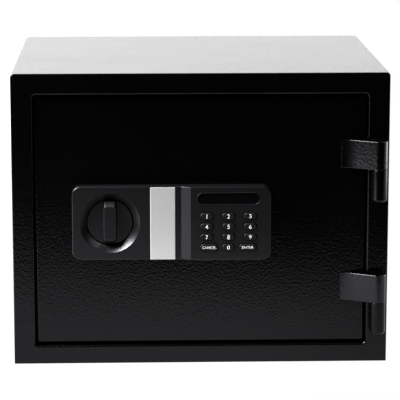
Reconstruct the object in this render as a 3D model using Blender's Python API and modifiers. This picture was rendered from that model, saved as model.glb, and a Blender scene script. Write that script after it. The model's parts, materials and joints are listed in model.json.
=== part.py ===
"""Fire-resistant safe with an electronic lock, as an assembly of separate pieces.

Metres, +Z up. The door faces -Y and is hinged on the right, at +X. The origin is the middle of
the footprint, at floor level. Every height below is given from the underside of the steel body
and lifted by the feet in one place, the function up().
"""

import math

import bmesh
import bpy
from mathutils import Matrix, Vector

# Driving dimensions of the steel body
WIDTH = 0.450
HEIGHT = 0.353
DEPTH = 0.380
FOOT_HEIGHT = 0.003
SHEET = 0.002
GAP = 0.0003  # between neighbouring pieces

# Hinge axis, measured from the frame's front face and the body's middle
PIN_X = 0.2125
PIN_FORWARD = 0.0098
BARREL_RADIUS = 0.0092
PIN_RADIUS = 0.0050
PIN_PLAY = 0.0003
STRAP_BOTTOMS = {"upper": 0.2384, "lower": 0.0764}
STRAP_HEIGHT = 0.0338
STRAP_THICKNESS = 0.004
STRAP_LEFT_X = 0.168
STRAP_BEND_X = 0.176
LOWER_BARREL_LENGTH = 0.0390

# The hinge barrels stand furthest forward, so they set the middle of the footprint
FRONT_Y = (PIN_FORWARD + BARREL_RADIUS - DEPTH) / 2
BACK_Y = FRONT_Y + DEPTH
PIN_Y = FRONT_Y - PIN_FORWARD

# Door opening, door rebate and inner cavity
OPENING_X = 0.200
OPENING_Z = (0.022, 0.328)
JAMB_DEPTH = 0.076
CAVITY_X = 0.173
CAVITY_Z = (0.052, 0.301)
LINER_SHEET = 0.002
LINER_BACK_Y = FRONT_Y + 0.330
SHELF_Z = 0.176
SHELF_SHEET = 0.0025
LEDGE = 0.008

# Door
DOOR_X = 0.197
DOOR_Z = (0.026, 0.324)
DOOR_FACE_Y = FRONT_Y + 0.004
DOOR_EDGE_DEPTH = 0.020
RETURN_FLANGE = 0.010
BACK_PAN_X = 0.190
BACK_PAN_Z = (0.033, 0.317)
BACK_PAN_SHEET = 0.0015
BACK_PAN_Y = (DOOR_FACE_Y + DOOR_EDGE_DEPTH + GAP, FRONT_Y + 0.072)
MECHANISM_PLATE_Y = (FRONT_Y + 0.0443, FRONT_Y + 0.0463)

# Bolt work
DOOR_MIDDLE_Z = sum(DOOR_Z) / 2
BOLT_SPACING = 0.090  # from the door's middle to each bolt
BOLT_HEIGHTS = {"upper": DOOR_MIDDLE_Z + BOLT_SPACING, "lower": DOOR_MIDDLE_Z - BOLT_SPACING}
BOLT_THROW = 0.018
LIVE_BOLT_RADIUS = 0.008
DEAD_BOLT_RADIUS = 0.006
BOLT_Y = FRONT_Y + 0.0608
BOLT_PLATE_Y = (FRONT_Y + 0.0495, FRONT_Y + 0.0525)
CRANK_RADIUS = BOLT_THROW / (2 * math.sin(math.radians(45)))
CRANK_PIN_RADIUS = 0.003
STUD_X = -0.158
STUD_SPACING = 0.060
STUD_RADIUS = 0.004
ARM_TOP_Z = 0.169
ARM_BOTTOM_Z = 0.144
FLANGE_X = (-0.072, -0.030)

# Pockets in the jamb and the insulation that the bolts reach into
LIVE_POCKET_Y = (BOLT_Y - 0.010, BOLT_Y + 0.010)
DEAD_POCKET_Y = (BOLT_Y - 0.0098, BOLT_Y + 0.0082)
LIVE_POCKET_HEIGHT = 0.020
DEAD_POCKET_HEIGHT = 0.016

# Lock housing on the door's face. Its depths are measured forward from the door's face.
HOUSING_X = (-0.1533, 0.0830)
HOUSING_Z = (0.1308, 0.2193)
HOUSING_CORNER = 0.010
KNOB_SIDE_DEPTH = 0.016
KEYPAD_SIDE_DEPTH = 0.0205
RAMP_X = (-0.0236, -0.0124)
LOCK_Z = 0.1753  # height of the knob's and the override lock's axes
KNOB_X = -0.1085
DISH_RADIUS = 0.036
KNOB_HOLE_RADIUS = 0.0282
KNOB_RADIUS = 0.0270
KNOB_DISC_DEPTH = 0.008
GRIP_DEPTH = 0.018
SPINDLE_RADIUS = 0.005
STRIP_X = (-0.0604, -0.0309)
OVERRIDE_X = sum(STRIP_X) / 2
LOCK_BODY_RADIUS = 0.0095
LOCK_BODY_BACK_Y = DOOR_FACE_Y + 0.008
LOCK_TAIL_RADIUS = 0.003
DISPLAY_X = (-0.0044, 0.0698)
DISPLAY_Z = (0.1983, 0.2117)

# Keypad: column and row centres of the number keys
KEY_COLUMNS = (0.0065, 0.0324, 0.0583)
KEY_ROWS = (0.1840, 0.1714, 0.1588, 0.1462)
KEY_SIZE = (0.0152, 0.0080)
WIDE_KEY_SIZE = (0.0212, 0.0080)
WIDE_KEY_SHIFT = 0.0029  # the two wide keys line up with their columns' outer edges
KEY_PLAY = 0.0005
KEY_RISE = 0.0018

# Solenoid
PLUNGER_X = -0.060
PLUNGER_Y = FRONT_Y + 0.058
PLUNGER_RADIUS = 0.0035
COIL_Z = (0.193, 0.227)

# Battery box in the door's back
BATTERY_RADIUS = 0.00725
BATTERY_LENGTH = 0.0505
BATTERY_PITCH = 0.015
BATTERY_BOX_X = (0.020, 0.084)
BATTERY_BOX_Z = (0.092, 0.147)
BATTERY_BOX_Y = (FRONT_Y + 0.054, FRONT_Y + 0.0719)
COVER_HINGE_Y = FRONT_Y + 0.0736

# Where the wires pass through the door
WIRE_X = 0.045
WIRE_Z = 0.1526

MATERIALS = {
    "black_powder_coat": ((0.012, 0.012, 0.013), 0.35, 0.0),
    "grey_liner": ((0.32, 0.33, 0.34), 0.55, 0.0),
    "insulation": ((0.62, 0.60, 0.56), 0.95, 0.0),
    "zinc_steel": ((0.62, 0.62, 0.60), 0.35, 1.0),
    "steel": ((0.56, 0.57, 0.58), 0.25, 1.0),
    "satin_aluminium": ((0.80, 0.80, 0.81), 0.35, 1.0),
    "black_plastic": ((0.025, 0.025, 0.027), 0.50, 0.0),
    "key_plastic": ((0.020, 0.020, 0.022), 0.40, 0.0),
    "gloss_black": ((0.004, 0.004, 0.005), 0.08, 0.0),
    "rubber": ((0.02, 0.02, 0.02), 0.85, 0.0),
    "circuit_board": ((0.02, 0.16, 0.06), 0.45, 0.0),
    "brass": ((0.72, 0.55, 0.25), 0.30, 1.0),
    "battery_wrap": ((0.10, 0.11, 0.12), 0.35, 0.0),
    "copper_coil": ((0.45, 0.20, 0.09), 0.40, 1.0),
}

parts = None
helpers = None
smooth_angle = math.radians(35)


def up(z):
    """Height above the floor of a height z above the underside of the steel body."""
    return z + FOOT_HEIGHT


def forward(depth):
    """Y of a point that stands this far in front of the door's face."""
    return DOOR_FACE_Y - depth


# ---------------------------------------------------------------- modelling helpers


def start_scene():
    global parts, helpers
    for obj in list(bpy.data.objects):
        bpy.data.objects.remove(obj)
    parts = bpy.data.collections.new("safe")
    helpers = bpy.data.collections.new("cutters")
    bpy.context.scene.collection.children.link(parts)
    bpy.context.scene.collection.children.link(helpers)


def material(name):
    """The material of this name, made the first time it is asked for."""
    found = bpy.data.materials.get(name)
    if found is None:
        colour, roughness, metallic = MATERIALS[name]
        found = bpy.data.materials.new(name)
        found.use_nodes = True
        shader = found.node_tree.nodes["Principled BSDF"]
        shader.inputs["Base Color"].default_value = (*colour, 1)
        shader.inputs["Roughness"].default_value = roughness
        shader.inputs["Metallic"].default_value = metallic
        found.diffuse_color = (*colour, 1)
    return found


def add_part(name, mesh, finish):
    obj = bpy.data.objects.new(name, mesh)
    parts.objects.link(obj)
    if finish:
        mesh.materials.append(material(finish))
    return obj


def follow(obj, parent):
    """Parents obj without moving it."""
    bpy.context.view_layer.update()
    obj.parent = parent
    obj.matrix_parent_inverse = parent.matrix_world.inverted()


def make_helper(tool, target):
    parts.objects.unlink(tool)
    helpers.objects.link(tool)
    tool.hide_render = True
    tool.display_type = "WIRE"
    follow(tool, target)


def combine(target, operation, tools):
    for tool in tools:
        make_helper(tool, target)
        modifier = target.modifiers.new(f"{operation.lower()} {tool.name}", "BOOLEAN")
        modifier.operation = operation
        modifier.object = tool
    return target


def cut(target, *tools):
    return combine(target, "DIFFERENCE", tools)


def join(target, *tools):
    return combine(target, "UNION", tools)


def bevel(obj, width, segments=2):
    modifier = obj.modifiers.new("bevel", "BEVEL")
    modifier.width = width
    modifier.segments = segments
    modifier.limit_method = "ANGLE"
    modifier.angle_limit = smooth_angle
    return obj


def smooth(obj):
    obj.data.shade_smooth()
    obj.data.set_sharp_from_angle(angle=smooth_angle)
    return obj


def block(name, x, y, z, finish=None):
    """A box over these spans of X, Y and Z."""
    mesh = bpy.data.meshes.new(name)
    shape = bmesh.new()
    bmesh.ops.create_cube(shape, size=1)
    size = [high - low for low, high in (x, y, z)]
    bmesh.ops.scale(shape, vec=size, verts=shape.verts)
    shape.to_mesh(mesh)
    shape.free()
    obj = add_part(name, mesh, finish)
    obj.location = [(low + high) / 2 for low, high in (x, y, z)]
    return obj


def axis_turn(axis):
    """Rotation that takes +Z to the named axis."""
    return {
        "X": (0, math.pi / 2, 0),
        "Y": (-math.pi / 2, 0, 0),
        "Z": (0, 0, 0),
    }[axis]


def rod(name, axis, start, length, radius, finish=None, segments=20):
    """A cylinder from start along +axis."""
    mesh = bpy.data.meshes.new(name)
    shape = bmesh.new()
    bmesh.ops.create_cone(
        shape,
        cap_ends=True,
        segments=segments,
        radius1=radius,
        radius2=radius,
        depth=length,
        matrix=Matrix.Translation((0, 0, length / 2)),
    )
    shape.to_mesh(mesh)
    shape.free()
    obj = add_part(name, mesh, finish)
    obj.location = start
    obj.rotation_euler = axis_turn(axis)
    return smooth(obj)


def turned(name, axis, start, profile, finish=None, segments=20):
    """A turned shape: profile lists (radius, distance along the axis), from far end to near end."""
    mesh = bpy.data.meshes.new(name)
    points = [(radius, 0, along) for radius, along in profile]
    mesh.from_pydata(points, [(i, i + 1) for i in range(len(points) - 1)], [])
    obj = add_part(name, mesh, finish)
    obj.location = start
    obj.rotation_euler = axis_turn(axis)
    screw = obj.modifiers.new("turn", "SCREW")
    screw.axis = "Z"
    screw.steps = segments
    screw.render_steps = segments
    screw.use_merge_vertices = True
    screw.merge_threshold = 0.00001
    screw.use_smooth_shade = True
    return obj


def arc(centre, radius, start, end, steps):
    """Points on an arc, in degrees anticlockwise from the first axis."""
    return [
        (
            centre[0] + radius * math.cos(math.radians(start + (end - start) * i / steps)),
            centre[1] + radius * math.sin(math.radians(start + (end - start) * i / steps)),
        )
        for i in range(steps + 1)
    ]


def rounded_rectangle(x, z, radius, steps=4):
    """Outline over these spans. radius is one number, or four: low left, low right, top right, top left."""
    radii = [radius] * 4 if isinstance(radius, float) else radius
    corners = (
        ((x[0], z[0]), (1, 1), 180),
        ((x[1], z[0]), (-1, 1), 270),
        ((x[1], z[1]), (-1, -1), 0),
        ((x[0], z[1]), (1, -1), 90),
    )
    outline = []
    for (corner, inward, start), corner_radius in zip(corners, radii):
        centre = [c + side * corner_radius for c, side in zip(corner, inward)]
        outline += arc(centre, corner_radius, start, start + 90, steps)
    return outline


def rectangle(x, z):
    return [(x[0], z[0]), (x[1], z[0]), (x[1], z[1]), (x[0], z[1])]


def pill(middle, size, steps=4):
    """Outline of a bar with round ends."""
    x = (middle[0] - size[0] / 2, middle[0] + size[0] / 2)
    z = (middle[1] - size[1] / 2, middle[1] + size[1] / 2)
    return rounded_rectangle(x, z, size[1] / 2 * 0.999, steps)


def mesh_from_curve(guide, name, finish):
    """Replaces a curve object with a mesh object of the same shape, its caps welded."""
    bpy.context.view_layer.update()
    evaluated = guide.evaluated_get(bpy.context.evaluated_depsgraph_get())
    mesh = bpy.data.meshes.new_from_object(evaluated)
    mesh.name = name
    mesh.materials.clear()
    shape = bmesh.new()
    shape.from_mesh(mesh)
    bmesh.ops.remove_doubles(shape, verts=shape.verts, dist=0.000001)
    bmesh.ops.recalc_face_normals(shape, faces=shape.faces)
    shape.to_mesh(mesh)
    shape.free()
    obj = add_part(name, mesh, finish)
    obj.matrix_world = guide.matrix_world.copy()
    bpy.data.objects.remove(guide)
    return obj


def plate(name, plane, outline, span, finish=None, holes=()):
    """A flat shape over this span of the axis square to its plane, XZ or XY, with its holes."""
    curve = bpy.data.curves.new(name, "CURVE")
    curve.dimensions = "2D"
    curve.fill_mode = "BOTH"
    curve.extrude = (span[1] - span[0]) / 2
    for points in (outline, *holes):
        spline = curve.splines.new("POLY")
        spline.points.add(len(points) - 1)
        for point, (u, v) in zip(spline.points, points):
            point.co = (u, v, 0, 1)
        spline.use_cyclic_u = True
    guide = bpy.data.objects.new(f"{name}_guide", curve)
    bpy.context.scene.collection.objects.link(guide)
    middle = (span[0] + span[1]) / 2
    if plane == "XZ":
        guide.rotation_euler.x = math.pi / 2
        guide.location.y = middle
    else:
        guide.location.z = middle
    return smooth(mesh_from_curve(guide, name, finish))


def lifted(outline):
    """An XZ outline given from the underside of the body, at its height above the floor."""
    return [(x, up(z)) for x, z in outline]


def pivot(name, location):
    """An empty on a joint's axis, which the moving pieces follow."""
    empty = bpy.data.objects.new(name, None)
    empty.location = location
    empty.empty_display_size = 0.01
    parts.objects.link(empty)
    return empty


# ---------------------------------------------------------------- steel body


def outer_casing():
    """Wrapped sheet: sides, top and front frame, open below and behind. Its top corners are bent
    to a radius and its lower corners are square."""
    outline = rounded_rectangle(
        (-WIDTH / 2, WIDTH / 2), (0, HEIGHT), (0.0004, 0.0004, 0.005, 0.005), 4
    )
    casing = plate("outer_casing", "XZ", lifted(outline), (FRONT_Y, BACK_Y), "black_powder_coat")
    bevel(casing, 0.0015, 3)
    inside_x = (SHEET - WIDTH / 2, WIDTH / 2 - SHEET)
    hollow = plate(
        "casing_hollow",
        "XZ",
        lifted(rounded_rectangle(inside_x, (SHEET, HEIGHT - SHEET), (0.0004, 0.0004, 0.003, 0.003), 4)),
        (FRONT_Y + SHEET, BACK_Y + SHEET),
    )
    open_base = block(
        "casing_base",
        inside_x,
        (FRONT_Y + SHEET, BACK_Y + SHEET),
        (up(-SHEET), up(2 * SHEET)),
    )
    doorway = plate(
        "casing_doorway",
        "XZ",
        lifted(rounded_rectangle((-OPENING_X, OPENING_X), OPENING_Z, 0.003, 3)),
        (FRONT_Y - SHEET, FRONT_Y + 2 * SHEET),
    )
    return cut(casing, hollow, open_base, doorway)


def base_plate():
    edge_x = WIDTH / 2 - SHEET - GAP
    return block(
        "base_plate",
        (-edge_x, edge_x),
        (FRONT_Y + SHEET + GAP, BACK_Y - SHEET - GAP),
        (up(0), up(SHEET)),
        "black_powder_coat",
    )


def back_plate():
    edge_x = WIDTH / 2 - SHEET - GAP
    outline = rounded_rectangle(
        (-edge_x, edge_x), (0, HEIGHT - SHEET - GAP), (0.0004, 0.0004, 0.003, 0.003)
    )
    return plate("back_plate", "XZ", lifted(outline), (BACK_Y - SHEET, BACK_Y), "black_powder_coat")


def bolt_pockets(name, x_span, y_span, height):
    """A square pocket at each bolt's height."""
    return [
        block(f"{name}_{place}", x_span, y_span, (up(z - height / 2), up(z + height / 2)))
        for place, z in BOLT_HEIGHTS.items()
    ]


def jamb_frame():
    """Folded frame behind the front flange: the sides of the door opening, and the rebate that
    the door's seal closes on. It is slotted for the bolts."""
    outer_x = OPENING_X + SHEET
    frame = block(
        "jamb_frame",
        (-outer_x, outer_x),
        (FRONT_Y + SHEET + GAP, FRONT_Y + JAMB_DEPTH + SHEET),
        (up(OPENING_Z[0] - SHEET), up(OPENING_Z[1] + SHEET)),
        "black_powder_coat",
    )
    doorway = block(
        "jamb_doorway",
        (-OPENING_X, OPENING_X),
        (FRONT_Y, FRONT_Y + JAMB_DEPTH),
        (up(OPENING_Z[0]), up(OPENING_Z[1])),
    )
    mouth = block(
        "jamb_mouth",
        (-CAVITY_X, CAVITY_X),
        (FRONT_Y + JAMB_DEPTH - SHEET, FRONT_Y + JAMB_DEPTH + 2 * SHEET),
        (up(CAVITY_Z[0]), up(CAVITY_Z[1])),
    )
    live_slots = bolt_pockets(
        "jamb_live_slot", (-outer_x - SHEET, SHEET - OPENING_X), LIVE_POCKET_Y, LIVE_POCKET_HEIGHT
    )
    dead_slots = bolt_pockets(
        "jamb_dead_slot", (OPENING_X - SHEET, outer_x + SHEET), DEAD_POCKET_Y, DEAD_POCKET_HEIGHT
    )
    return cut(frame, doorway, mouth, *live_slots, *dead_slots)


def inner_liner():
    """Open-fronted inner box with a ledge on each side for the shelf."""
    outer_x = CAVITY_X + LINER_SHEET
    front = FRONT_Y + JAMB_DEPTH + SHEET + GAP
    liner = block(
        "inner_liner",
        (-outer_x, outer_x),
        (front, LINER_BACK_Y + LINER_SHEET),
        (up(CAVITY_Z[0] - LINER_SHEET), up(CAVITY_Z[1] + LINER_SHEET)),
        "grey_liner",
    )
    hollow = block(
        "liner_hollow",
        (-CAVITY_X, CAVITY_X),
        (front - LINER_SHEET, LINER_BACK_Y),
        (up(CAVITY_Z[0]), up(CAVITY_Z[1])),
    )
    cut(liner, hollow)
    ledges = []
    for side in (-1, 1):
        span = sorted((side * (CAVITY_X + LINER_SHEET / 2), side * (CAVITY_X - LEDGE)))
        ledges.append(
            block(
                f"ledge_{side}",
                span,
                (front + 0.030, LINER_BACK_Y + LINER_SHEET / 2),
                (up(SHELF_Z - 0.006), up(SHELF_Z)),
            )
        )
    return join(liner, *ledges)


def body_insulation():
    """Poured fire insulation that fills the space between casing and liner."""
    inset = SHEET + GAP
    fill_x = WIDTH / 2 - inset
    fill = block(
        "body_insulation",
        (-fill_x, fill_x),
        (FRONT_Y + inset, BACK_Y - inset),
        (up(inset), up(HEIGHT - inset)),
        "insulation",
    )
    bevel(fill, 0.0035, 2)
    jamb_x = OPENING_X + inset
    doorway = block(
        "insulation_doorway",
        (-jamb_x, jamb_x),
        (FRONT_Y - inset, FRONT_Y + JAMB_DEPTH + inset),
        (up(OPENING_Z[0] - inset), up(OPENING_Z[1] + inset)),
    )
    liner_x = CAVITY_X + LINER_SHEET + GAP
    cavity = block(
        "insulation_cavity",
        (-liner_x, liner_x),
        (FRONT_Y + JAMB_DEPTH, LINER_BACK_Y + LINER_SHEET + GAP),
        (up(CAVITY_Z[0] - LINER_SHEET - GAP), up(CAVITY_Z[1] + LINER_SHEET + GAP)),
    )
    live = bolt_pockets("fill_live", (-0.214, -OPENING_X), LIVE_POCKET_Y, LIVE_POCKET_HEIGHT)
    dead = bolt_pockets("fill_dead", (OPENING_X, 0.213), DEAD_POCKET_Y, DEAD_POCKET_HEIGHT)
    return cut(fill, doorway, cavity, *live, *dead)


def shelf():
    """Removable shelf with a turned-up front lip, resting on the liner's ledges."""
    edge_x = CAVITY_X - 0.001
    front = FRONT_Y + 0.122
    tray = block(
        "shelf",
        (-edge_x, edge_x),
        (front, LINER_BACK_Y - 0.004),
        (up(SHELF_Z + GAP), up(SHELF_Z + GAP + SHELF_SHEET)),
        "grey_liner",
    )
    lip = block(
        "shelf_lip",
        (-edge_x, edge_x),
        (front, front + SHELF_SHEET),
        (up(SHELF_Z + GAP), up(SHELF_Z + 0.010)),
    )
    return join(tray, lip)


def feet():
    """Four low rubber pads under the base."""
    inset_x, inset_y = 0.045, 0.050
    for side, x in (("left", inset_x - WIDTH / 2), ("right", WIDTH / 2 - inset_x)):
        for end, y in (("front", FRONT_Y + inset_y), ("rear", BACK_Y - inset_y)):
            profile = [
                (0, FOOT_HEIGHT - GAP),
                (0.016, FOOT_HEIGHT - GAP),
                (0.016, 0.0008),
                (0.0152, 0),
                (0, 0),
            ]
            turned(f"foot_{end}_{side}", "Z", (x, y, 0), profile, "rubber")


# ---------------------------------------------------------------- hinges


def strap_outline():
    """Seen from above: a strap that lies on the door, rises to the front of the barrel and wraps
    round it."""
    back = DOOR_FACE_Y - GAP
    front = back - STRAP_THICKNESS
    bend = Vector((STRAP_BEND_X, front))
    centre = Vector((PIN_X, PIN_Y))
    to_centre = centre - bend
    slope = math.atan2(to_centre.y, to_centre.x) - math.asin(BARREL_RADIUS / to_centre.length)
    along = Vector((math.cos(slope), math.sin(slope)))
    inward = Vector((-along.y, along.x))
    # The strap's rear face is a line, parallel to its front face, that meets the barrel here
    inset = BARREL_RADIUS - STRAP_THICKNESS
    chord = math.sqrt(BARREL_RADIUS**2 - inset**2)
    meeting = centre - inward * inset - along * chord
    rear_foot = meeting + along * ((back - meeting.y) / along.y)
    first = math.degrees(slope) - 90
    last = math.degrees(math.atan2(meeting.y - centre.y, meeting.x - centre.x)) % 360
    outline = [(STRAP_LEFT_X, back), (STRAP_LEFT_X, front), tuple(bend)]
    outline += arc(centre, BARREL_RADIUS, first, last, 18)
    outline.append(tuple(rear_foot))
    return outline


def hinge(place, door):
    bottom = up(STRAP_BOTTOMS[place])
    top = bottom + STRAP_HEIGHT
    strap = plate(f"hinge_strap_{place}", "XY", strap_outline(), (bottom, top), "black_powder_coat")
    bevel(strap, 0.0008, 1)
    bore_depth = STRAP_HEIGHT - 0.003
    bore = rod(
        f"strap_bore_{place}",
        "Z",
        (PIN_X, PIN_Y, bottom - GAP),
        bore_depth + GAP,
        PIN_RADIUS + PIN_PLAY,
    )
    cut(strap, bore)
    follow(strap, door)

    barrel_top = bottom - GAP
    barrel_bottom = barrel_top - LOWER_BARREL_LENGTH
    height = barrel_top - barrel_bottom
    rounding = 0.0018
    profile = [(0, height), (BARREL_RADIUS - 0.0004, height), (BARREL_RADIUS, height - 0.0004)]
    profile += [
        (BARREL_RADIUS - rounding + r, rounding - z)
        for r, z in arc((0, 0), rounding, 0, 90, 2)
    ]
    profile.append((0, 0))
    barrel = turned(
        f"hinge_barrel_{place}", "Z", (PIN_X, PIN_Y, barrel_bottom), profile, "black_powder_coat", 24
    )
    # A narrow foot ties the barrel to the frame, where it is welded
    foot = block(
        f"barrel_foot_{place}",
        (PIN_X - 0.004, PIN_X + 0.004),
        (PIN_Y + 0.002, FRONT_Y - GAP),
        (barrel_bottom + 0.004, barrel_top - 0.002),
    )
    join(barrel, foot)
    pin_bottom = barrel_bottom + 0.004
    socket = rod(
        f"barrel_bore_{place}",
        "Z",
        (PIN_X, PIN_Y, pin_bottom - GAP),
        barrel_top - pin_bottom + 2 * GAP,
        PIN_RADIUS + PIN_PLAY,
    )
    cut(barrel, socket)
    pin_length = bottom + bore_depth - 0.001 - pin_bottom
    rod(f"hinge_pin_{place}", "Z", (PIN_X, PIN_Y, pin_bottom), pin_length, PIN_RADIUS, "steel")


# ---------------------------------------------------------------- door


def access_holes(name, y_span, radii):
    """Cutters for what passes through the door: knob spindle, override lock and wiring."""
    spindle, lock, wiring = radii
    places = (("spindle", KNOB_X, LOCK_Z, spindle), ("lock", OVERRIDE_X, LOCK_Z, lock),
              ("wiring", WIRE_X, WIRE_Z, wiring))
    return [
        rod(f"{name}_{place}", "Y", (x, y_span[0], up(z)), y_span[1] - y_span[0], radius)
        for place, x, z, radius in places
    ]


def door_skin():
    """Front pan of the door: face, folded edges and a return flange behind."""
    back = DOOR_FACE_Y + DOOR_EDGE_DEPTH
    outline = rounded_rectangle((-DOOR_X, DOOR_X), DOOR_Z, 0.003, 3)
    skin = plate("door_skin", "XZ", lifted(outline), (DOOR_FACE_Y, back), "black_powder_coat")
    bevel(skin, 0.0012, 2)
    hollow = block(
        "skin_hollow",
        (SHEET - DOOR_X, DOOR_X - SHEET),
        (DOOR_FACE_Y + SHEET, back - SHEET),
        (up(DOOR_Z[0] + SHEET), up(DOOR_Z[1] - SHEET)),
    )
    rear = block(
        "skin_rear",
        (RETURN_FLANGE - DOOR_X, DOOR_X - RETURN_FLANGE),
        (back - 2 * SHEET, back + SHEET),
        (up(DOOR_Z[0] + RETURN_FLANGE), up(DOOR_Z[1] - RETURN_FLANGE)),
    )
    holes = access_holes("skin", (DOOR_FACE_Y - SHEET, DOOR_FACE_Y + 2 * SHEET), (0.006, 0.010, 0.007))
    return cut(skin, hollow, rear, *holes)


def door_insulation():
    """Fill of the front pan, stepped in to pass the return flange into the back pan."""
    inset = SHEET + GAP
    back = DOOR_FACE_Y + DOOR_EDGE_DEPTH
    fill = block(
        "door_insulation",
        (inset - DOOR_X, DOOR_X - inset),
        (DOOR_FACE_Y + inset, back - inset),
        (up(DOOR_Z[0] + inset), up(DOOR_Z[1] - inset)),
        "insulation",
    )
    step = RETURN_FLANGE + GAP
    rear = block(
        "fill_rear",
        (step - DOOR_X, DOOR_X - step),
        (back - 2 * inset, MECHANISM_PLATE_Y[0] - GAP),
        (up(DOOR_Z[0] + step), up(DOOR_Z[1] - step)),
    )
    join(fill, rear)
    through = (DOOR_FACE_Y, MECHANISM_PLATE_Y[1])
    lock_room = rod(
        "fill_lock_body",
        "Y",
        (OVERRIDE_X, DOOR_FACE_Y, up(LOCK_Z)),
        LOCK_BODY_BACK_Y + 0.001 - DOOR_FACE_Y,
        LOCK_BODY_RADIUS + 0.0005,
    )
    return cut(fill, lock_room, *access_holes("fill", through, (0.007, 0.0045, 0.007)))


def door_back_pan():
    """Rear cover of the door, which holds the bolt work. Open to the front."""
    pan = block(
        "door_back_pan",
        (-BACK_PAN_X, BACK_PAN_X),
        BACK_PAN_Y,
        (up(BACK_PAN_Z[0]), up(BACK_PAN_Z[1])),
        "black_powder_coat",
    )
    bevel(pan, 0.0012, 2)
    hollow = block(
        "pan_hollow",
        (BACK_PAN_SHEET - BACK_PAN_X, BACK_PAN_X - BACK_PAN_SHEET),
        (BACK_PAN_Y[0] - SHEET, BACK_PAN_Y[1] - BACK_PAN_SHEET),
        (up(BACK_PAN_Z[0] + BACK_PAN_SHEET), up(BACK_PAN_Z[1] - BACK_PAN_SHEET)),
    )
    battery_window = block(
        "pan_battery_window",
        (BATTERY_BOX_X[0] - GAP, BATTERY_BOX_X[1] + GAP),
        (BACK_PAN_Y[1] - 2 * SHEET, BACK_PAN_Y[1] + SHEET),
        (up(BATTERY_BOX_Z[0] - GAP), up(BATTERY_BOX_Z[1] + GAP)),
    )
    bolt_holes = []
    for place, z in BOLT_HEIGHTS.items():
        bolt_holes.append(
            rod(f"pan_live_{place}", "X", (-BACK_PAN_X - SHEET, BOLT_Y, up(z)), 3 * SHEET,
                LIVE_BOLT_RADIUS + 0.0006)
        )
        bolt_holes.append(
            rod(f"pan_dead_{place}", "X", (BACK_PAN_X - 2 * SHEET, BOLT_Y, up(z)), 3 * SHEET,
                DEAD_BOLT_RADIUS + 0.0004)
        )
    return cut(pan, hollow, battery_window, *bolt_holes)


def door_seal():
    """Fire seal round the back pan, which closes on the body's rebate."""
    inset, width = 0.001, 0.010
    outer_x, outer_z = BACK_PAN_X - inset, (BACK_PAN_Z[0] + inset, BACK_PAN_Z[1] - inset)
    outer = rounded_rectangle((-outer_x, outer_x), outer_z, 0.004, 3)
    inner = rectangle(
        (width - outer_x, outer_x - width), (outer_z[0] + width, outer_z[1] - width)
    )
    span = (BACK_PAN_Y[1] + GAP, FRONT_Y + JAMB_DEPTH - GAP)
    return plate("door_seal", "XZ", lifted(outer), span, "rubber", [lifted(inner)])


def mechanism_plate():
    """Steel plate between the insulation and the bolt work."""
    edge_x = BACK_PAN_X - 0.004
    spans = (-edge_x, edge_x), (BACK_PAN_Z[0] + 0.004, BACK_PAN_Z[1] - 0.004)
    holes = [
        arc((x, up(z)), radius, 0, 345, 23)
        for x, z, radius in (
            (KNOB_X, LOCK_Z, SPINDLE_RADIUS + 0.0007),
            (OVERRIDE_X, LOCK_Z, LOCK_TAIL_RADIUS + 0.001),
            (WIRE_X, WIRE_Z, 0.006),
        )
    ]
    return plate(
        "mechanism_plate", "XZ", lifted(rectangle(*spans)), MECHANISM_PLATE_Y, "zinc_steel", holes
    )


def dead_bolts(door):
    for place, z in BOLT_HEIGHTS.items():
        bolt = rod(
            f"dead_bolt_{place}", "X", (0.150, BOLT_Y, up(z)), 0.058, DEAD_BOLT_RADIUS, "zinc_steel"
        )
        follow(bevel(bolt, 0.0008, 1), door)


# ---------------------------------------------------------------- bolt work


def bolt_plate():
    """Sliding plate that carries the live bolts: an upright, and an arm to the crank. The arm's
    flange has the notch that the solenoid plunger drops into when the bolts are thrown."""
    left, right = -0.168, -0.128
    notch_x = KNOB_X + BOLT_THROW / 2
    notch_half = CRANK_PIN_RADIUS + 0.0008
    notch_bottom = LOCK_Z - CRANK_RADIUS - CRANK_PIN_RADIUS - 0.001
    outline = [
        (left, DOOR_MIDDLE_Z - 0.100),
        (right, DOOR_MIDDLE_Z - 0.100),
        (right, ARM_BOTTOM_Z),
        (FLANGE_X[1], ARM_BOTTOM_Z),
        (FLANGE_X[1], ARM_TOP_Z),
        (notch_x + notch_half, ARM_TOP_Z),
        (notch_x + notch_half, notch_bottom),
        (notch_x - notch_half, notch_bottom),
        (notch_x - notch_half, ARM_TOP_Z),
        (right, ARM_TOP_Z),
        (right, DOOR_MIDDLE_Z + 0.100),
        (left, DOOR_MIDDLE_Z + 0.100),
    ]
    slot_radius = STUD_RADIUS + 0.0004
    slots = [
        pill((STUD_X + BOLT_THROW / 2, z), (BOLT_THROW + 2 * slot_radius, 2 * slot_radius), 4)
        for z in (DOOR_MIDDLE_Z + STUD_SPACING, DOOR_MIDDLE_Z - STUD_SPACING)
    ]
    slider = plate(
        "bolt_plate",
        "XZ",
        lifted(outline),
        BOLT_PLATE_Y,
        "zinc_steel",
        [lifted(slot) for slot in slots],
    )
    flange = block(
        "bolt_flange",
        FLANGE_X,
        (BOLT_PLATE_Y[0] + 0.0001, FRONT_Y + 0.064),
        (up(ARM_TOP_Z - 0.0025), up(ARM_TOP_Z)),
    )
    plunger_notch = block(
        "bolt_notch",
        (PLUNGER_X + BOLT_THROW - 0.0045, PLUNGER_X + BOLT_THROW + 0.0045),
        (PLUNGER_Y - 0.0045, FRONT_Y + 0.066),
        (up(ARM_TOP_Z - 0.004), up(ARM_TOP_Z + 0.001)),
    )
    join(slider, flange)
    return cut(slider, plunger_notch)


def live_bolts(carriage):
    for place, z in BOLT_HEIGHTS.items():
        tip = (0.0005 - BACK_PAN_X, BOLT_Y, up(z))
        bolt = rod(f"live_bolt_{place}", "X", tip, 0.0575, LIVE_BOLT_RADIUS, "steel")
        follow(bevel(bolt, 0.0012, 2), carriage)


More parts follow.
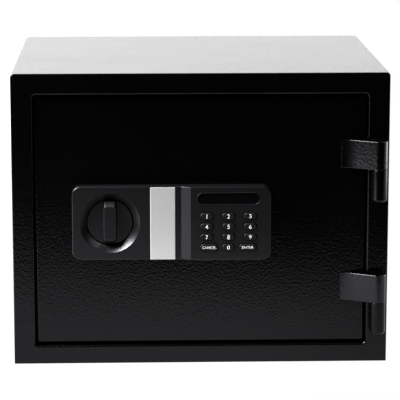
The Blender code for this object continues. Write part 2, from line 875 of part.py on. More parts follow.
def guide_studs(door):
    """Shoulder studs on the mechanism plate that the bolt plate slides along."""
    start = MECHANISM_PLATE_Y[1] + GAP
    shoulder = BOLT_PLATE_Y[1] + GAP - start
    head = 0.0025
    profile = [
        (0, shoulder + head),
        (0.0066, shoulder + head),
        (0.0070, shoulder + head - 0.0004),
        (0.0070, shoulder),
        (STUD_RADIUS, shoulder),
        (STUD_RADIUS, 0),
        (0, 0),
    ]
    for place, side in (("upper", 1), ("lower", -1)):
        z = up(DOOR_MIDDLE_Z + side * STUD_SPACING)
        stud = turned(f"guide_stud_{place}", "Y", (STUD_X, start, z), profile, "zinc_steel")
        follow(stud, door)


def crank(knob_pivot):
    """Disc on the spindle's end with the pin that drives the bolt plate. At rest the pin stands
    45 degrees to the right of straight down."""
    disc_y = (BOLT_PLATE_Y[1] + 0.0005, BOLT_PLATE_Y[1] + 0.0045)
    centre = (KNOB_X, disc_y[0], up(LOCK_Z))
    disc = rod("crank_disc", "Y", centre, disc_y[1] - disc_y[0], 0.017, "zinc_steel", segments=24)
    offset = CRANK_RADIUS * math.sin(math.radians(45))
    pin_start = (KNOB_X + offset, BOLT_PLATE_Y[0] - 0.0005, up(LOCK_Z) - offset)
    pin = rod("crank_pin", "Y", pin_start, disc_y[0] + 0.001 - pin_start[1], CRANK_PIN_RADIUS)
    join(disc, pin)
    bore = rod(
        "crank_bore",
        "Y",
        (KNOB_X, disc_y[0] - 0.002, up(LOCK_Z)),
        0.008,
        SPINDLE_RADIUS + GAP,
    )
    cut(disc, bore)
    follow(disc, knob_pivot)


def spindle(knob_pivot):
    """Shaft from the knob through the door to the crank."""
    start = forward(-0.0005) + GAP
    shaft = rod(
        "spindle",
        "Y",
        (KNOB_X, start, up(LOCK_Z)),
        BOLT_PLATE_Y[1] + 0.006 - start,
        SPINDLE_RADIUS,
        "steel",
    )
    follow(bevel(shaft, 0.0005, 1), knob_pivot)


def solenoid(door, plunger_pivot):
    """Coil on the mechanism plate, its sprung plunger, and the plunger's spring."""
    coil = block(
        "solenoid_coil",
        (PLUNGER_X - 0.012, PLUNGER_X + 0.012),
        (PLUNGER_Y - 0.011, PLUNGER_Y + 0.011),
        (up(COIL_Z[0]), up(COIL_Z[1])),
        "copper_coil",
    )
    bevel(coil, 0.0015, 1)
    bore = rod(
        "coil_bore",
        "Z",
        (PLUNGER_X, PLUNGER_Y, up(COIL_Z[0] - 0.001)),
        COIL_Z[1] - COIL_Z[0] - 0.003,
        PLUNGER_RADIUS + 0.0004,
    )
    follow(cut(coil, bore), door)

    tip = up(ARM_TOP_Z) + GAP
    collar = up(COIL_Z[0] - 0.012) - tip
    length = 0.046
    collar_radius = 0.0055
    profile = [
        (0, length),
        (PLUNGER_RADIUS, length),
        (PLUNGER_RADIUS, collar + 0.002),
        (collar_radius, collar + 0.002),
        (collar_radius, collar),
        (PLUNGER_RADIUS, collar),
        (PLUNGER_RADIUS, 0.001),
        (PLUNGER_RADIUS - 0.001, 0),
        (0, 0),
    ]
    plunger = turned("solenoid_plunger", "Z", (PLUNGER_X, PLUNGER_Y, tip), profile, "steel")
    follow(plunger, plunger_pivot)

    spring_bottom = tip + collar + 0.002 + GAP
    spring_top = up(COIL_Z[0]) - GAP
    follow(spring(spring_bottom, spring_top), door)


def spring(bottom, top):
    """Coil spring round the plunger, between its collar and the solenoid."""
    wire, radius, turns, steps = 0.0004, 0.0048, 4, 8
    rise = top - bottom - 2 * wire
    curve = bpy.data.curves.new("plunger_spring", "CURVE")
    curve.dimensions = "3D"
    curve.bevel_depth = wire
    curve.bevel_resolution = 1
    curve.use_fill_caps = True
    spline = curve.splines.new("POLY")
    spline.points.add(turns * steps)
    for i, point in enumerate(spline.points):
        angle = 2 * math.pi * i / steps
        height = wire + rise * i / (turns * steps)
        point.co = (radius * math.cos(angle), radius * math.sin(angle), height, 1)
    guide = bpy.data.objects.new("plunger_spring_guide", curve)
    bpy.context.scene.collection.objects.link(guide)
    guide.location = (PLUNGER_X, PLUNGER_Y, bottom)
    return mesh_from_curve(guide, "plunger_spring", "steel")


# ---------------------------------------------------------------- lock housing


def lock_housing(door):
    """Moulded housing: a flat knob side, and a keypad side that a ramp lifts forward of it."""
    back, front = forward(GAP), forward(KEYPAD_SIDE_DEPTH)
    outline = rounded_rectangle(HOUSING_X, HOUSING_Z, HOUSING_CORNER, 5)
    housing = plate("lock_housing", "XZ", lifted(outline), (front, back), "black_plastic")
    ramp = plate(
        "housing_ramp",
        "XY",
        [
            (HOUSING_X[0] - 0.010, forward(KNOB_SIDE_DEPTH)),
            (RAMP_X[0], forward(KNOB_SIDE_DEPTH)),
            (RAMP_X[1], forward(KEYPAD_SIDE_DEPTH)),
            (RAMP_X[1], forward(0.030)),
            (HOUSING_X[0] - 0.010, forward(0.030)),
        ],
        (up(HOUSING_Z[0] - 0.010), up(HOUSING_Z[1] + 0.010)),
    )
    cut(housing, ramp)
    bevel(housing, 0.0012, 2)
    cut(housing, *knob_dish(), *strip_seat(), *keypad_openings(), *housing_hollows())
    follow(housing, door)


def knob_dish():
    """Sloping dish round the knob, and the hole that the knob turns in."""
    centre = (KNOB_X, forward(KNOB_SIDE_DEPTH + 0.001), up(LOCK_Z))
    depth = KNOB_SIDE_DEPTH + 0.001
    floor = depth - KNOB_DISC_DEPTH - 0.0005
    slope = (DISH_RADIUS - KNOB_HOLE_RADIUS) / (floor - 0.001)
    profile = [
        (0, depth + 0.001),
        (KNOB_HOLE_RADIUS, depth + 0.001),
        (KNOB_HOLE_RADIUS, floor),
        (DISH_RADIUS + slope * 0.001, 0),
        (0, 0),
    ]
    return [turned("housing_dish", "Y", centre, profile, segments=36)]


def strip_seat():
    """Shallow seat across the housing for the bright strip, and notches for its end tabs."""
    x = (STRIP_X[0] - 0.0003, STRIP_X[1] + 0.0003)
    seat = block(
        "strip_seat",
        x,
        (forward(0.020), forward(0.0152)),
        (up(HOUSING_Z[0] - 0.005), up(HOUSING_Z[1] + 0.005)),
    )
    tools = [seat]
    for name, z in (
        ("strip_notch_top", (HOUSING_Z[1] - 0.001, HOUSING_Z[1] + 0.005)),
        ("strip_notch_bottom", (HOUSING_Z[0] - 0.005, HOUSING_Z[0] + 0.001)),
    ):
        tools.append(block(name, x, (forward(0.020), forward(0.0085)), (up(z[0]), up(z[1]))))
    lock_hole = rod(
        "housing_lock_hole",
        "Y",
        (OVERRIDE_X, forward(0.0165), up(LOCK_Z)),
        0.020,
        LOCK_BODY_RADIUS + 0.0004,
    )
    return [*tools, lock_hole]


def key_layout():
    """(name, middle, size) of each key."""
    column_left, column_middle, column_right = KEY_COLUMNS
    last_row = KEY_ROWS[3]
    layout = [
        (f"key_{3 * row + column + 1}", (x, z), KEY_SIZE)
        for row, z in enumerate(KEY_ROWS[:3])
        for column, x in enumerate(KEY_COLUMNS)
    ]
    layout.append(("key_cancel", (column_left + WIDE_KEY_SHIFT, last_row), WIDE_KEY_SIZE))
    layout.append(("key_0", (column_middle, last_row), KEY_SIZE))
    layout.append(("key_enter", (column_right - WIDE_KEY_SHIFT, last_row), WIDE_KEY_SIZE))
    return layout


def keypad_openings():
    """Holes for the keys and the display lens."""
    span = (forward(0.024), forward(0.016))
    tools = [
        plate(
            f"hole_{name}",
            "XZ",
            lifted(pill(middle, (size[0] + 2 * KEY_PLAY, size[1] + 2 * KEY_PLAY))),
            span,
        )
        for name, middle, size in key_layout()
    ]
    middle = (sum(DISPLAY_X) / 2, sum(DISPLAY_Z) / 2)
    size = (DISPLAY_X[1] - DISPLAY_X[0], DISPLAY_Z[1] - DISPLAY_Z[0])
    tools.append(plate("hole_display", "XZ", lifted(pill(middle, size)), span))
    return tools


def housing_hollows():
    """Hollows behind the housing's two sides, open to the door."""
    wall = 0.0025
    z = (up(HOUSING_Z[0] + wall), up(HOUSING_Z[1] - wall))
    keypad_room = block(
        "keypad_room",
        (RAMP_X[1] + wall, HOUSING_X[1] - wall),
        (forward(KEYPAD_SIDE_DEPTH - wall), forward(-0.002)),
        z,
    )
    knob_room = block(
        "knob_room",
        (HOUSING_X[0] + wall, STRIP_X[0] - wall),
        (forward(0.006), forward(-0.002)),
        z,
    )
    return [keypad_room, knob_room]


def grip_section(half_width, half_length, end_width, depth):
    """Eight corners of the grip's outline at one depth, narrowed at both ends."""
    shoulder = half_length - (half_width - end_width) * 2.2
    quarter = [(half_width, shoulder), (end_width, half_length)]
    right = [(x, -z) for x, z in quarter[::-1]] + quarter
    outline = right + [(-x, -z) for x, z in right]
    return [(x, -depth, z) for x, z in outline]


def loft(name, sections, finish=None):
    """A closed solid through sections of equal point count."""
    count = len(sections[0])
    mesh = bpy.data.meshes.new(name)
    points = [point for section in sections for point in section]
    faces = [list(range(count)), list(range(len(points) - 1, len(points) - 1 - count, -1))]
    for level in range(len(sections) - 1):
        for i in range(count):
            j = (i + 1) % count
            low, high = level * count, (level + 1) * count
            faces.append((low + i, high + i, high + j, low + j))
    mesh.from_pydata(points, [], faces)
    shape = bmesh.new()
    shape.from_mesh(mesh)
    bmesh.ops.recalc_face_normals(shape, faces=shape.faces)
    shape.to_mesh(mesh)
    shape.free()
    return add_part(name, mesh, finish)


def knob(knob_pivot):
    """Round disc sunk in the dish, with a grip bar across it."""
    disc_back = 0.003
    disc = rod(
        "knob",
        "Y",
        (KNOB_X, forward(KNOB_DISC_DEPTH), up(LOCK_Z)),
        KNOB_DISC_DEPTH - disc_back,
        KNOB_RADIUS,
        "black_plastic",
        segments=36,
    )
    bevel(disc, 0.0006, 2)
    sections = [
        grip_section(0.0080, 0.0262, 0.0054, KNOB_DISC_DEPTH - 0.001),
        grip_section(0.0078, 0.0255, 0.0053, KNOB_DISC_DEPTH + 0.003),
        grip_section(0.0066, 0.0188, 0.0056, GRIP_DEPTH),
    ]
    grip = loft("knob_grip", sections)
    grip.location = (KNOB_X, DOOR_FACE_Y, up(LOCK_Z))
    bevel(grip, 0.0005, 2)
    hub = rod(
        "knob_hub", "Y", (KNOB_X, forward(disc_back + 0.001), up(LOCK_Z)), 0.0035, 0.009
    )
    join(disc, grip, hub)
    follow(disc, knob_pivot)


def key_cover(cover_pivot):
    """Bright strip over the override lock: a plate with a tab turned back at each end."""
    tab = 0.0012
    x, z = STRIP_X, (HOUSING_Z[0] - 0.0005, HOUSING_Z[1] + 0.0005)
    strip = block(
        "key_cover", x, (forward(0.0170), forward(0.0155)), (up(z[0]), up(z[1])), "satin_aluminium"
    )
    tabs = [
        block(f"tab_{name}", x, (forward(0.0165), forward(0.0090)), span)
        for name, span in (
            ("top", (up(z[1] - tab), up(z[1]))),
            ("bottom", (up(z[0]), up(z[0] + tab))),
        )
    ]
    join(strip, *tabs)
    bevel(strip, 0.0003, 2)
    follow(strip, cover_pivot)


def override_lock(door, plug_pivot):
    """Emergency key lock behind the strip: a body, and a plug with its keyway and tail lever."""
    front = forward(0.0148)
    body = rod(
        "override_lock_body",
        "Y",
        (OVERRIDE_X, front, up(LOCK_Z)),
        LOCK_BODY_BACK_Y - front,
        LOCK_BODY_RADIUS,
        "brass",
        segments=24,
    )
    bevel(body, 0.0005, 1)
    bore = rod("lock_bore", "Y", (OVERRIDE_X, front - 0.001, up(LOCK_Z)), 0.030, 0.0063)
    follow(cut(body, bore), door)

    start = front + 0.0003
    plug_length = 0.020
    tail_end = FRONT_Y + 0.0665
    profile = [
        (0, tail_end - start),
        (LOCK_TAIL_RADIUS, tail_end - start),
        (LOCK_TAIL_RADIUS, plug_length),
        (0.0060, plug_length),
        (0.0060, 0),
        (0, 0),
    ]
    plug = turned("override_lock_plug", "Y", (OVERRIDE_X, start, up(LOCK_Z)), profile, "brass")
    lever = block(
        "lock_lever",
        (OVERRIDE_X - 0.0134, OVERRIDE_X),
        (FRONT_Y + 0.0641, FRONT_Y + 0.0664),
        (up(LOCK_Z - 0.0025), up(LOCK_Z + 0.0025)),
    )
    join(plug, lever)
    keyway = block(
        "keyway",
        (OVERRIDE_X - 0.0010, OVERRIDE_X + 0.0010),
        (start - 0.001, start + 0.012),
        (up(LOCK_Z - 0.0038), up(LOCK_Z + 0.0038)),
    )
    follow(cut(plug, keyway), plug_pivot)


def keypad(door):
    """Display lens, circuit board, and twelve sprung keys, each on its own pivot."""
    middle = (sum(DISPLAY_X) / 2, sum(DISPLAY_Z) / 2)
    size = (DISPLAY_X[1] - DISPLAY_X[0] - 2 * GAP, DISPLAY_Z[1] - DISPLAY_Z[0] - 2 * GAP)
    face = KEYPAD_SIDE_DEPTH - 0.001
    lens = plate(
        "display_lens", "XZ", lifted(pill(middle, size)), (forward(face), forward(0.0160)), "gloss_black"
    )
    board = block(
        "keypad_board",
        (-0.006, 0.078),
        (forward(0.0096), forward(0.0080)),
        (up(HOUSING_Z[0] + 0.006), up(HOUSING_Z[1] - 0.006)),
        "circuit_board",
    )
    follow(lens, door)
    follow(board, door)
    for name, middle, size in key_layout():
        face = KEYPAD_SIDE_DEPTH + KEY_RISE
        key_pivot = pivot(f"{name}_pivot", (middle[0], forward(face), up(middle[1])))
        follow(key_pivot, door)
        span = (forward(face), forward(0.0112))
        key = plate(name, "XZ", lifted(pill(middle, size)), span, "key_plastic")
        follow(bevel(key, 0.0008, 1), key_pivot)


# ---------------------------------------------------------------- power and wiring


def battery_box(door, cover_pivot):
    """Tray let into the back pan, four cells, and a cover hinged along its lower edge."""
    wall = 0.0015
    tray = block(
        "battery_box",
        BATTERY_BOX_X,
        BATTERY_BOX_Y,
        (up(BATTERY_BOX_Z[0]), up(BATTERY_BOX_Z[1])),
        "black_plastic",
    )
    room = block(
        "battery_room",
        (BATTERY_BOX_X[0] + wall, BATTERY_BOX_X[1] - wall),
        (BATTERY_BOX_Y[0] + wall, BATTERY_BOX_Y[1] + wall),
        (up(BATTERY_BOX_Z[0] + wall), up(BATTERY_BOX_Z[1] - wall)),
    )
    follow(cut(tray, room), door)

    middle_x = sum(BATTERY_BOX_X) / 2
    start_z = sum(BATTERY_BOX_Z) / 2 - BATTERY_LENGTH / 2
    y = BATTERY_BOX_Y[0] + wall + GAP + BATTERY_RADIUS
    nub = 0.0012
    profile = [
        (0, BATTERY_LENGTH),
        (0.0027, BATTERY_LENGTH),
        (0.0027, BATTERY_LENGTH - nub),
        (BATTERY_RADIUS, BATTERY_LENGTH - nub),
        (BATTERY_RADIUS, 0),
        (0, 0),
    ]
    for i in range(4):
        x = middle_x + (i - 1.5) * BATTERY_PITCH
        cell = turned(f"battery_{i + 1}", "Z", (x, y, up(start_z)), profile, "battery_wrap", 14)
        follow(cell, door)

    margin = 0.002
    cover = block(
        "battery_cover",
        (BATTERY_BOX_X[0] - margin, BATTERY_BOX_X[1] + margin),
        (COVER_HINGE_Y - 0.001, COVER_HINGE_Y + 0.001),
        (up(BATTERY_BOX_Z[0] - margin), up(BATTERY_BOX_Z[1] + margin)),
        "black_plastic",
    )
    follow(bevel(cover, 0.0004, 1), cover_pivot)


def wire_loom(door):
    """Wires from the circuit board through the door to the battery box."""
    route = [
        Vector((WIRE_X, forward(0.0075), up(WIRE_Z))),
        Vector((WIRE_X, forward(-0.010), up(WIRE_Z))),
        Vector((WIRE_X, forward(-0.030), up(WIRE_Z))),
        Vector((WIRE_X, FRONT_Y + 0.0480, up(WIRE_Z))),
        Vector((WIRE_X, FRONT_Y + 0.0560, up(WIRE_Z + 0.002))),
        Vector((WIRE_X, FRONT_Y + 0.0615, up(WIRE_Z - 0.0005))),
        Vector((WIRE_X, FRONT_Y + 0.0625, up(BATTERY_BOX_Z[1]) + GAP)),
    ]
    curve = bpy.data.curves.new("wire_loom", "CURVE")
    curve.dimensions = "3D"
    curve.bevel_depth = 0.0016
    curve.bevel_resolution = 2
    curve.use_fill_caps = True
    points = smooth_route(route, 4)
    spline = curve.splines.new("POLY")
    spline.points.add(len(points) - 1)
    for point, place in zip(spline.points, points):
        point.co = (*place, 1)
    guide = bpy.data.objects.new("wire_loom_guide", curve)
    bpy.context.scene.collection.objects.link(guide)
    follow(smooth(mesh_from_curve(guide, "wire_loom", "rubber")), door)


def smooth_route(points, steps):
    """Points on a smooth curve through the given ones."""
    padded = [2 * points[0] - points[1], *points, 2 * points[-1] - points[-2]]
    found = []
    for a, b, c, d in zip(padded, padded[1:], padded[2:], padded[3:]):
        for i in range(steps):
            t = i / steps
            found.append(
                0.5 * (2 * b + (c - a) * t + (2 * a - 5 * b + 4 * c - d) * t**2
                       + (3 * b - a - 3 * c + d) * t**3)
            )
    return [*found, points[-1]]


# ---------------------------------------------------------------- assembly


def build_body():
    outer_casing()
    base_plate()
    back_plate()
    jamb_frame()
    body_insulation()
    inner_liner()
    shelf()
    feet()


def build_door():
    door = pivot("door_pivot", (PIN_X, PIN_Y, up(DOOR_MIDDLE_Z)))
    for piece in (door_skin(), door_insulation(), door_back_pan(), door_seal(), mechanism_plate()):
        follow(piece, door)
    for place in ("upper", "lower"):
        hinge(place, door)
    dead_bolts(door)
    return door


def build_bolt_work(door):
    carriage = pivot("bolt_pivot", (STUD_X, BOLT_PLATE_Y[0], up(DOOR_MIDDLE_Z)))
    knob_pivot = pivot("knob_pivot", (KNOB_X, DOOR_FACE_Y, up(LOCK_Z)))
    plunger_pivot = pivot("plunger_pivot", (PLUNGER_X, PLUNGER_Y, up(ARM_TOP_Z)))
    for empty in (carriage, knob_pivot, plunger_pivot):
        follow(empty, door)
    follow(bolt_plate(), carriage)
    live_bolts(carriage)
    guide_studs(door)
    crank(knob_pivot)
    spindle(knob_pivot)
    knob(knob_pivot)
    solenoid(door, plunger_pivot)


def build_lock(door):
    cover_pivot = pivot("key_cover_pivot", (OVERRIDE_X, forward(0.017), up(LOCK_Z)))
    plug_pivot = pivot("lock_plug_pivot", (OVERRIDE_X, forward(0.0148), up(LOCK_Z)))
    lid_pivot = pivot(
        "battery_cover_pivot", (sum(BATTERY_BOX_X) / 2, COVER_HINGE_Y, up(BATTERY_BOX_Z[0] - 0.001))
    )
    for empty in (cover_pivot, plug_pivot, lid_pivot):
        follow(empty, door)
    lock_housing(door)
    key_cover(cover_pivot)
    override_lock(door, plug_pivot)
    keypad(door)
    battery_box(door, lid_pivot)
    wire_loom(door)


def main():
    start_scene()
    build_body()
    door = build_door()
    build_bolt_work(door)
    build_lock(door)


main()
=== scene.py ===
"""Looks of the fire-resistant safe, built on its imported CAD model.

Metres, +Z up, in the CAD frame: the door faces -Y and is hinged at +X. Finer pieces stand for the
CAD nodes that show, and every other node gets a procedural material.
"""

import json
import math

import bmesh
import bpy
from mathutils import Matrix, Vector

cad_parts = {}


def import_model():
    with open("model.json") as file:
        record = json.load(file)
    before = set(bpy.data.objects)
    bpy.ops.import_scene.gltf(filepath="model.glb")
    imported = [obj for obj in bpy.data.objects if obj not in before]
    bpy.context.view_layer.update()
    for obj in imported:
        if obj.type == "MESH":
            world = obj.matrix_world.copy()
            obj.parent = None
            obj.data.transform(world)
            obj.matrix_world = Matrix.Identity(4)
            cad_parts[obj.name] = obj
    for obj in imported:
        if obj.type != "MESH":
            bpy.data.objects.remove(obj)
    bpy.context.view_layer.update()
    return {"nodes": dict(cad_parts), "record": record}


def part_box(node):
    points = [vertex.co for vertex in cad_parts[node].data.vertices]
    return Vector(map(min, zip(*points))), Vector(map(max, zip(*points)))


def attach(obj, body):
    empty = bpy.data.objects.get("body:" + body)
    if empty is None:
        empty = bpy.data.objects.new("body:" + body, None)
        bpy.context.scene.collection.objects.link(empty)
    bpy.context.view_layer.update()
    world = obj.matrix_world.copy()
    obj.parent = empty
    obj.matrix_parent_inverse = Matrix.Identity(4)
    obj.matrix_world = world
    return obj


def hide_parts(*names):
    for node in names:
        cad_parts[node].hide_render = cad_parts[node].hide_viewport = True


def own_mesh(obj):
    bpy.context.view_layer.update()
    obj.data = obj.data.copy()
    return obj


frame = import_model()
nodes = frame["nodes"]

# Camera: position, how many degrees it is turned right and down, and its lens in millimetres
CAMERA_PLACE = (-0.0811, -2.6378, 0.6831)
CAMERA_YAW = 1.868
CAMERA_PITCH = 11.037
CAMERA_LENS = 188.93
SENSOR_WIDTH = 36

# Floor, as it shows in reflections: X and Y in metres, glow as radiance
FLOOR_REACH = 9.0
FLOOR_EDGE = 0.41  # how far the lit floor runs on in front of the body
FLOOR_FADE = 0.12  # half the width of the floor's fade to dark
FLOOR_WEDGE = 0.21  # slope of the dark wedge's sides
FLOOR_WEDGE_X = 0.30  # where the wedge comes nearest to the body
FLOOR_GLOW = 1.10
FLOOR_GLOW_LEFT = 5.6
FLOOR_LEFT_START = (-0.65, -0.25)  # X over which the left part's glow falls to the rest's
FLOOR_LEFT_END = (-0.95, -0.70)  # X over which the glow comes up from FLOOR_FAR_LEFT of it
FLOOR_FAR_LEFT = 0.12
FLOOR_RIGHT = (0.0, 0.35)  # X over which the glow falls to FLOOR_DIM_RIGHT of it
FLOOR_DIM_RIGHT = 0.68

# World, as it shows in reflections: spans are parts of a direction of length 1
BACKDROP = 2.25  # radiance behind and beside the safe, near the horizon
BACKDROP_TOP = 5.0  # the same, higher up
BACKDROP_BEHIND = (0.0, 0.35)  # Y over which the backdrop comes in
BACKDROP_RISE = (0.20, 0.70)  # Z over which it brightens
BACKDROP_ACROSS = (-0.35, 0.45)  # X over which it changes from its left share to its right share
BACKDROP_SHARES = (1.20, 0.80)
HORIZON = (-0.02, 0.02)
OVERHEAD = 0.25
OVERHEAD_RISE = (0.75, 1.0)
FRONT_DARK = 0.004

# Lights: places and sizes in metres, powers in watts
KEY_PLACE = (-1.25, -0.50, 1.55)
KEY_SIZE = (1.0, 1.0)
KEY_POWER = 220
SIDE_PLACE = (1.35, 0.35, 0.30)
SIDE_SIZE = (0.8, 0.6)
SIDE_POWER = 7

# Throughout
GAP = 0.0003  # round a piece that sits in another
CORE = 0.0005  # radius at which a turned shape closes on its axis
EDGE_BREAK = 0.0006  # of a cut steel edge
OVERRUN = 0.01  # how far a cutter runs past what it cuts
SMOOTH_ANGLE = math.radians(32)  # a sharper edge than this is bevelled

# Steel body and door
SHEET = 0.002
CORNER_RADIUS = 0.0045
SQUARE_CORNER = 0.0010
FRONT_ROLL = 0.0015  # radius of the folded front edges
LIP_ROLL = 0.0025  # radius of the fold round the doorway
LIP_OVERLAP = 0.0006  # how far the lip covers the jamb's edge
LIP_DEPTH = 0.012
LIP_THICKNESS = 0.00025
DOORWAY_CORNER = 0.004
DOOR_CORNER = 0.003
DOOR_ROLL = 0.0016
DOOR_BACK_ROLL = 0.001
RETURN_FLANGE = 0.010
SPINDLE_HOLE = 0.006  # radii of the holes through the door's face
LOCK_HOLE = 0.010
WIRE_HOLE = 0.007
WIRE_PLACE = (0.045, 0.1556)  # X and Z of the wires' hole
BASE_GAP = 0.0002  # round the base plate
BACK_MARGIN = 0.030  # flat border round the pressed middle of the back
BACK_PRESS = 0.0012
BACK_PRESS_WIDTH = 0.004

# Hinge
PIN_X = 0.2125
PIN_FORWARD = 0.0098  # how far the pins' axes stand in front of the frame
BARREL_RADIUS = 0.0092
STRAP_THICKNESS = 0.004
STRAP_BEND = 0.006  # from the strap's free end to the middle of its bend
STRAP_BEND_REACH = 0.015  # from there to where the strap runs straight
STRAP_END = 0.0012  # thickness of the free end, hammered thin
STRAP_EDGE_ROUNDING = 0.0014
BARREL_ROUNDING = 0.0038
BARREL_FOOT = 0.004  # half the width of the foot that joins a barrel to the frame

# Lock housing: depths are measured forward from the door's face
KNOB_SIDE_DEPTH = 0.016
KEYPAD_SIDE_DEPTH = 0.0205
HOUSING_FRONT = 0.03  # a depth in front of the whole housing
HOUSING_CORNER = 0.010
HOUSING_ROUNDING = 0.0010
HOUSING_EDGE = 0.0003  # rounding of its openings, the ramp's edges and the strip's carrier
HOUSING_WALL = 0.0025
RAMP_X = (-0.0236, -0.0124)
RAMP_EDGE_ANGLE = math.radians(18)
CUTTER_FRONT = 0.025  # a depth in front of what the housing's cutters cut
KEYPAD_HOLE_DEPTH = 0.016
KNOB_ROOM_DEPTH = 0.006
ROOM_BACK = -0.002  # a depth behind the housing
DISH_RADIUS = 0.036
DISH_LEAD = 0.001  # how far the dish's cutter starts in front of the housing
DISH_UNDER_DISC = 0.0005  # how far the dish's foot lies behind the disc's face
LOCK_BORE = 0.0099  # radius of the bore for the override lock
LOCK_BORE_FRONT = 0.0165

# Knob
KNOB_HOLE_RADIUS = 0.0282
KNOB_DISC_DEPTH = 0.008
KNOB_DISC_BACK = 0.003
KNOB_RIM = 0.0009
GRIP_DEPTH = 0.018
GRIP_ROUNDING = 0.0006
GRIP_SECTIONS = (  # half width, half length, half width at the ends, and depth, from back to front
    (0.0084, 0.0264, 0.0062, KNOB_DISC_DEPTH - 0.001),
    (0.0082, 0.0260, 0.0060, KNOB_DISC_DEPTH + 0.003),
    (0.0072, 0.0200, 0.0060, GRIP_DEPTH),
)
GRIP_END_SLOPE = 2.2  # length of the narrowing for each metre of it

# Bright strip: a face on a carrier with a hook at each end
STRIP_FACE = (0.0170, 0.0160)  # depths of its front and back
STRIP_ROUNDING = 0.00045
STRIP_SHORT = (0.0008, 0.0014)  # how far the face stops short of its carrier, below and above
STRIP_SEAT_DEPTH = 0.0152
CARRIER_FACE = (0.01595, 0.01525)  # depths of the front and back of its plate
CARRIER_HOOK_DEPTH = 0.0090
CARRIER_HOOK = 0.0012  # thickness of each hook
NOTCH_DEPTH = 0.0085
NOTCH = 0.001  # how far the hooks' notches run in from the housing's edge

# Keys and display
KEY_PLAY = 0.0008  # between a key and its hole
KEY_SHOULDER = 0.0011  # radius of a key's rounded shoulder
LENS_ROUNDING = 0.0004
BEZEL_RADIUS = 0.00035  # of the raised rim round the display
BEZEL_OUT = 0.0004  # how far outside the lens the rim starts
BEZEL_SUNK = 0.0008  # how far the rim's foot reaches into the housing
LEGEND_PROUD = 0.00012  # how far a legend stands out of its key
DIGIT_HEIGHT = 0.0050
WORD_SIZES = {  # widths and heights
    "CANCEL": (0.0164, 0.0031),
    "ENTER": (0.0138, 0.0031),
}
STROKE_WEIGHT = 0.004  # how far the strokes are thickened, as a share of the letter size

# Solenoid spring
SPRING_WIRE = 0.0004  # radius of its wire
SPRING_TURNS = 4
SPRING_STEPS = 24  # sections in each turn

KEYS = {f"key_{digit}": str(digit) for digit in range(10)}
KEYS["key_cancel"] = "CANCEL"
KEYS["key_enter"] = "ENTER"

casing_low, casing_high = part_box("outer_casing")
FRONT_Y = casing_low.y
BACK_Y = casing_high.y
BASE_Z = casing_low.z
TOP_Z = casing_high.z
door_low, door_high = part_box("door_skin")
FACE_Y = door_low.y
PIN_Y = FRONT_Y - PIN_FORWARD


def forward(depth):
    """Y of a point that stands this far in front of the door's face."""
    return FACE_Y - depth


def middle(node):
    low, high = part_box(node)
    return (low + high) / 2


# ---------------------------------------------------------------- materials

BLACK = (0.0005, 0.0005, 0.0006)
BLACK_PLASTIC = (0.0010, 0.0010, 0.0012)
COOL_SHEEN = (0.97, 0.92, 1.0)  # tint of the reflections in coat and plastic
PEBBLES = 390  # pebbles of the coat in a metre
PEBBLE_SMOOTHNESS = 0.6
WARP_SCALE = 200
WARP = 0.0022  # how far the pebbles are pushed out of line


def new_material(name, colour, roughness, metallic=0.0):
    """A Principled material, with the nodes and links that its texture will hang from."""
    made = bpy.data.materials.new(name)
    made.use_nodes = True
    tree = made.node_tree
    shader = tree.nodes["Principled BSDF"]
    shader.inputs["Base Color"].default_value = (*colour, 1)
    shader.inputs["Roughness"].default_value = roughness
    shader.inputs["Metallic"].default_value = metallic
    return made, tree, shader


def object_coordinates(tree, stretch=(1, 1, 1)):
    """Object coordinates, squeezed along each axis by this much."""
    source = tree.nodes.new("ShaderNodeTexCoord")
    mapping = tree.nodes.new("ShaderNodeMapping")
    mapping.inputs["Scale"].default_value = stretch
    tree.links.new(source.outputs["Object"], mapping.inputs["Vector"])
    return mapping.outputs["Vector"]


def noise(tree, place, scale, detail=2.0, rough=0.5, distortion=0.0):
    node = tree.nodes.new("ShaderNodeTexNoise")
    node.inputs["Scale"].default_value = scale
    node.inputs["Detail"].default_value = detail
    node.inputs["Roughness"].default_value = rough
    node.inputs["Distortion"].default_value = distortion
    tree.links.new(place, node.inputs["Vector"])
    return node.outputs["Fac"]


def remap(tree, value, low, high, start=0.0, end=1.0):
    """value, with start..end taken to low..high."""
    node = tree.nodes.new("ShaderNodeMapRange")
    node.inputs["From Min"].default_value = start
    node.inputs["From Max"].default_value = end
    node.inputs["To Min"].default_value = low
    node.inputs["To Max"].default_value = high
    tree.links.new(value, node.inputs["Value"])
    return node.outputs["Result"]


def shade_colour(tree, shader, value, dark, light):
    """Base colour between dark and light, by value."""
    ramp = tree.nodes.new("ShaderNodeValToRGB")
    ramp.color_ramp.elements[0].color = (*dark, 1)
    ramp.color_ramp.elements[1].color = (*light, 1)
    tree.links.new(value, ramp.inputs["Fac"])
    tree.links.new(ramp.outputs["Color"], shader.inputs["Base Color"])


def bump(tree, shader, height, strength, distance, under=None):
    node = tree.nodes.new("ShaderNodeBump")
    node.inputs["Strength"].default_value = strength
    node.inputs["Distance"].default_value = distance
    tree.links.new(height, node.inputs["Height"])
    if under is not None:
        tree.links.new(under, node.inputs["Normal"])
    tree.links.new(node.outputs["Normal"], shader.inputs["Normal"])
    return node.outputs["Normal"]


def tinted(colour, factor):
    return tuple(channel * factor for channel in colour)


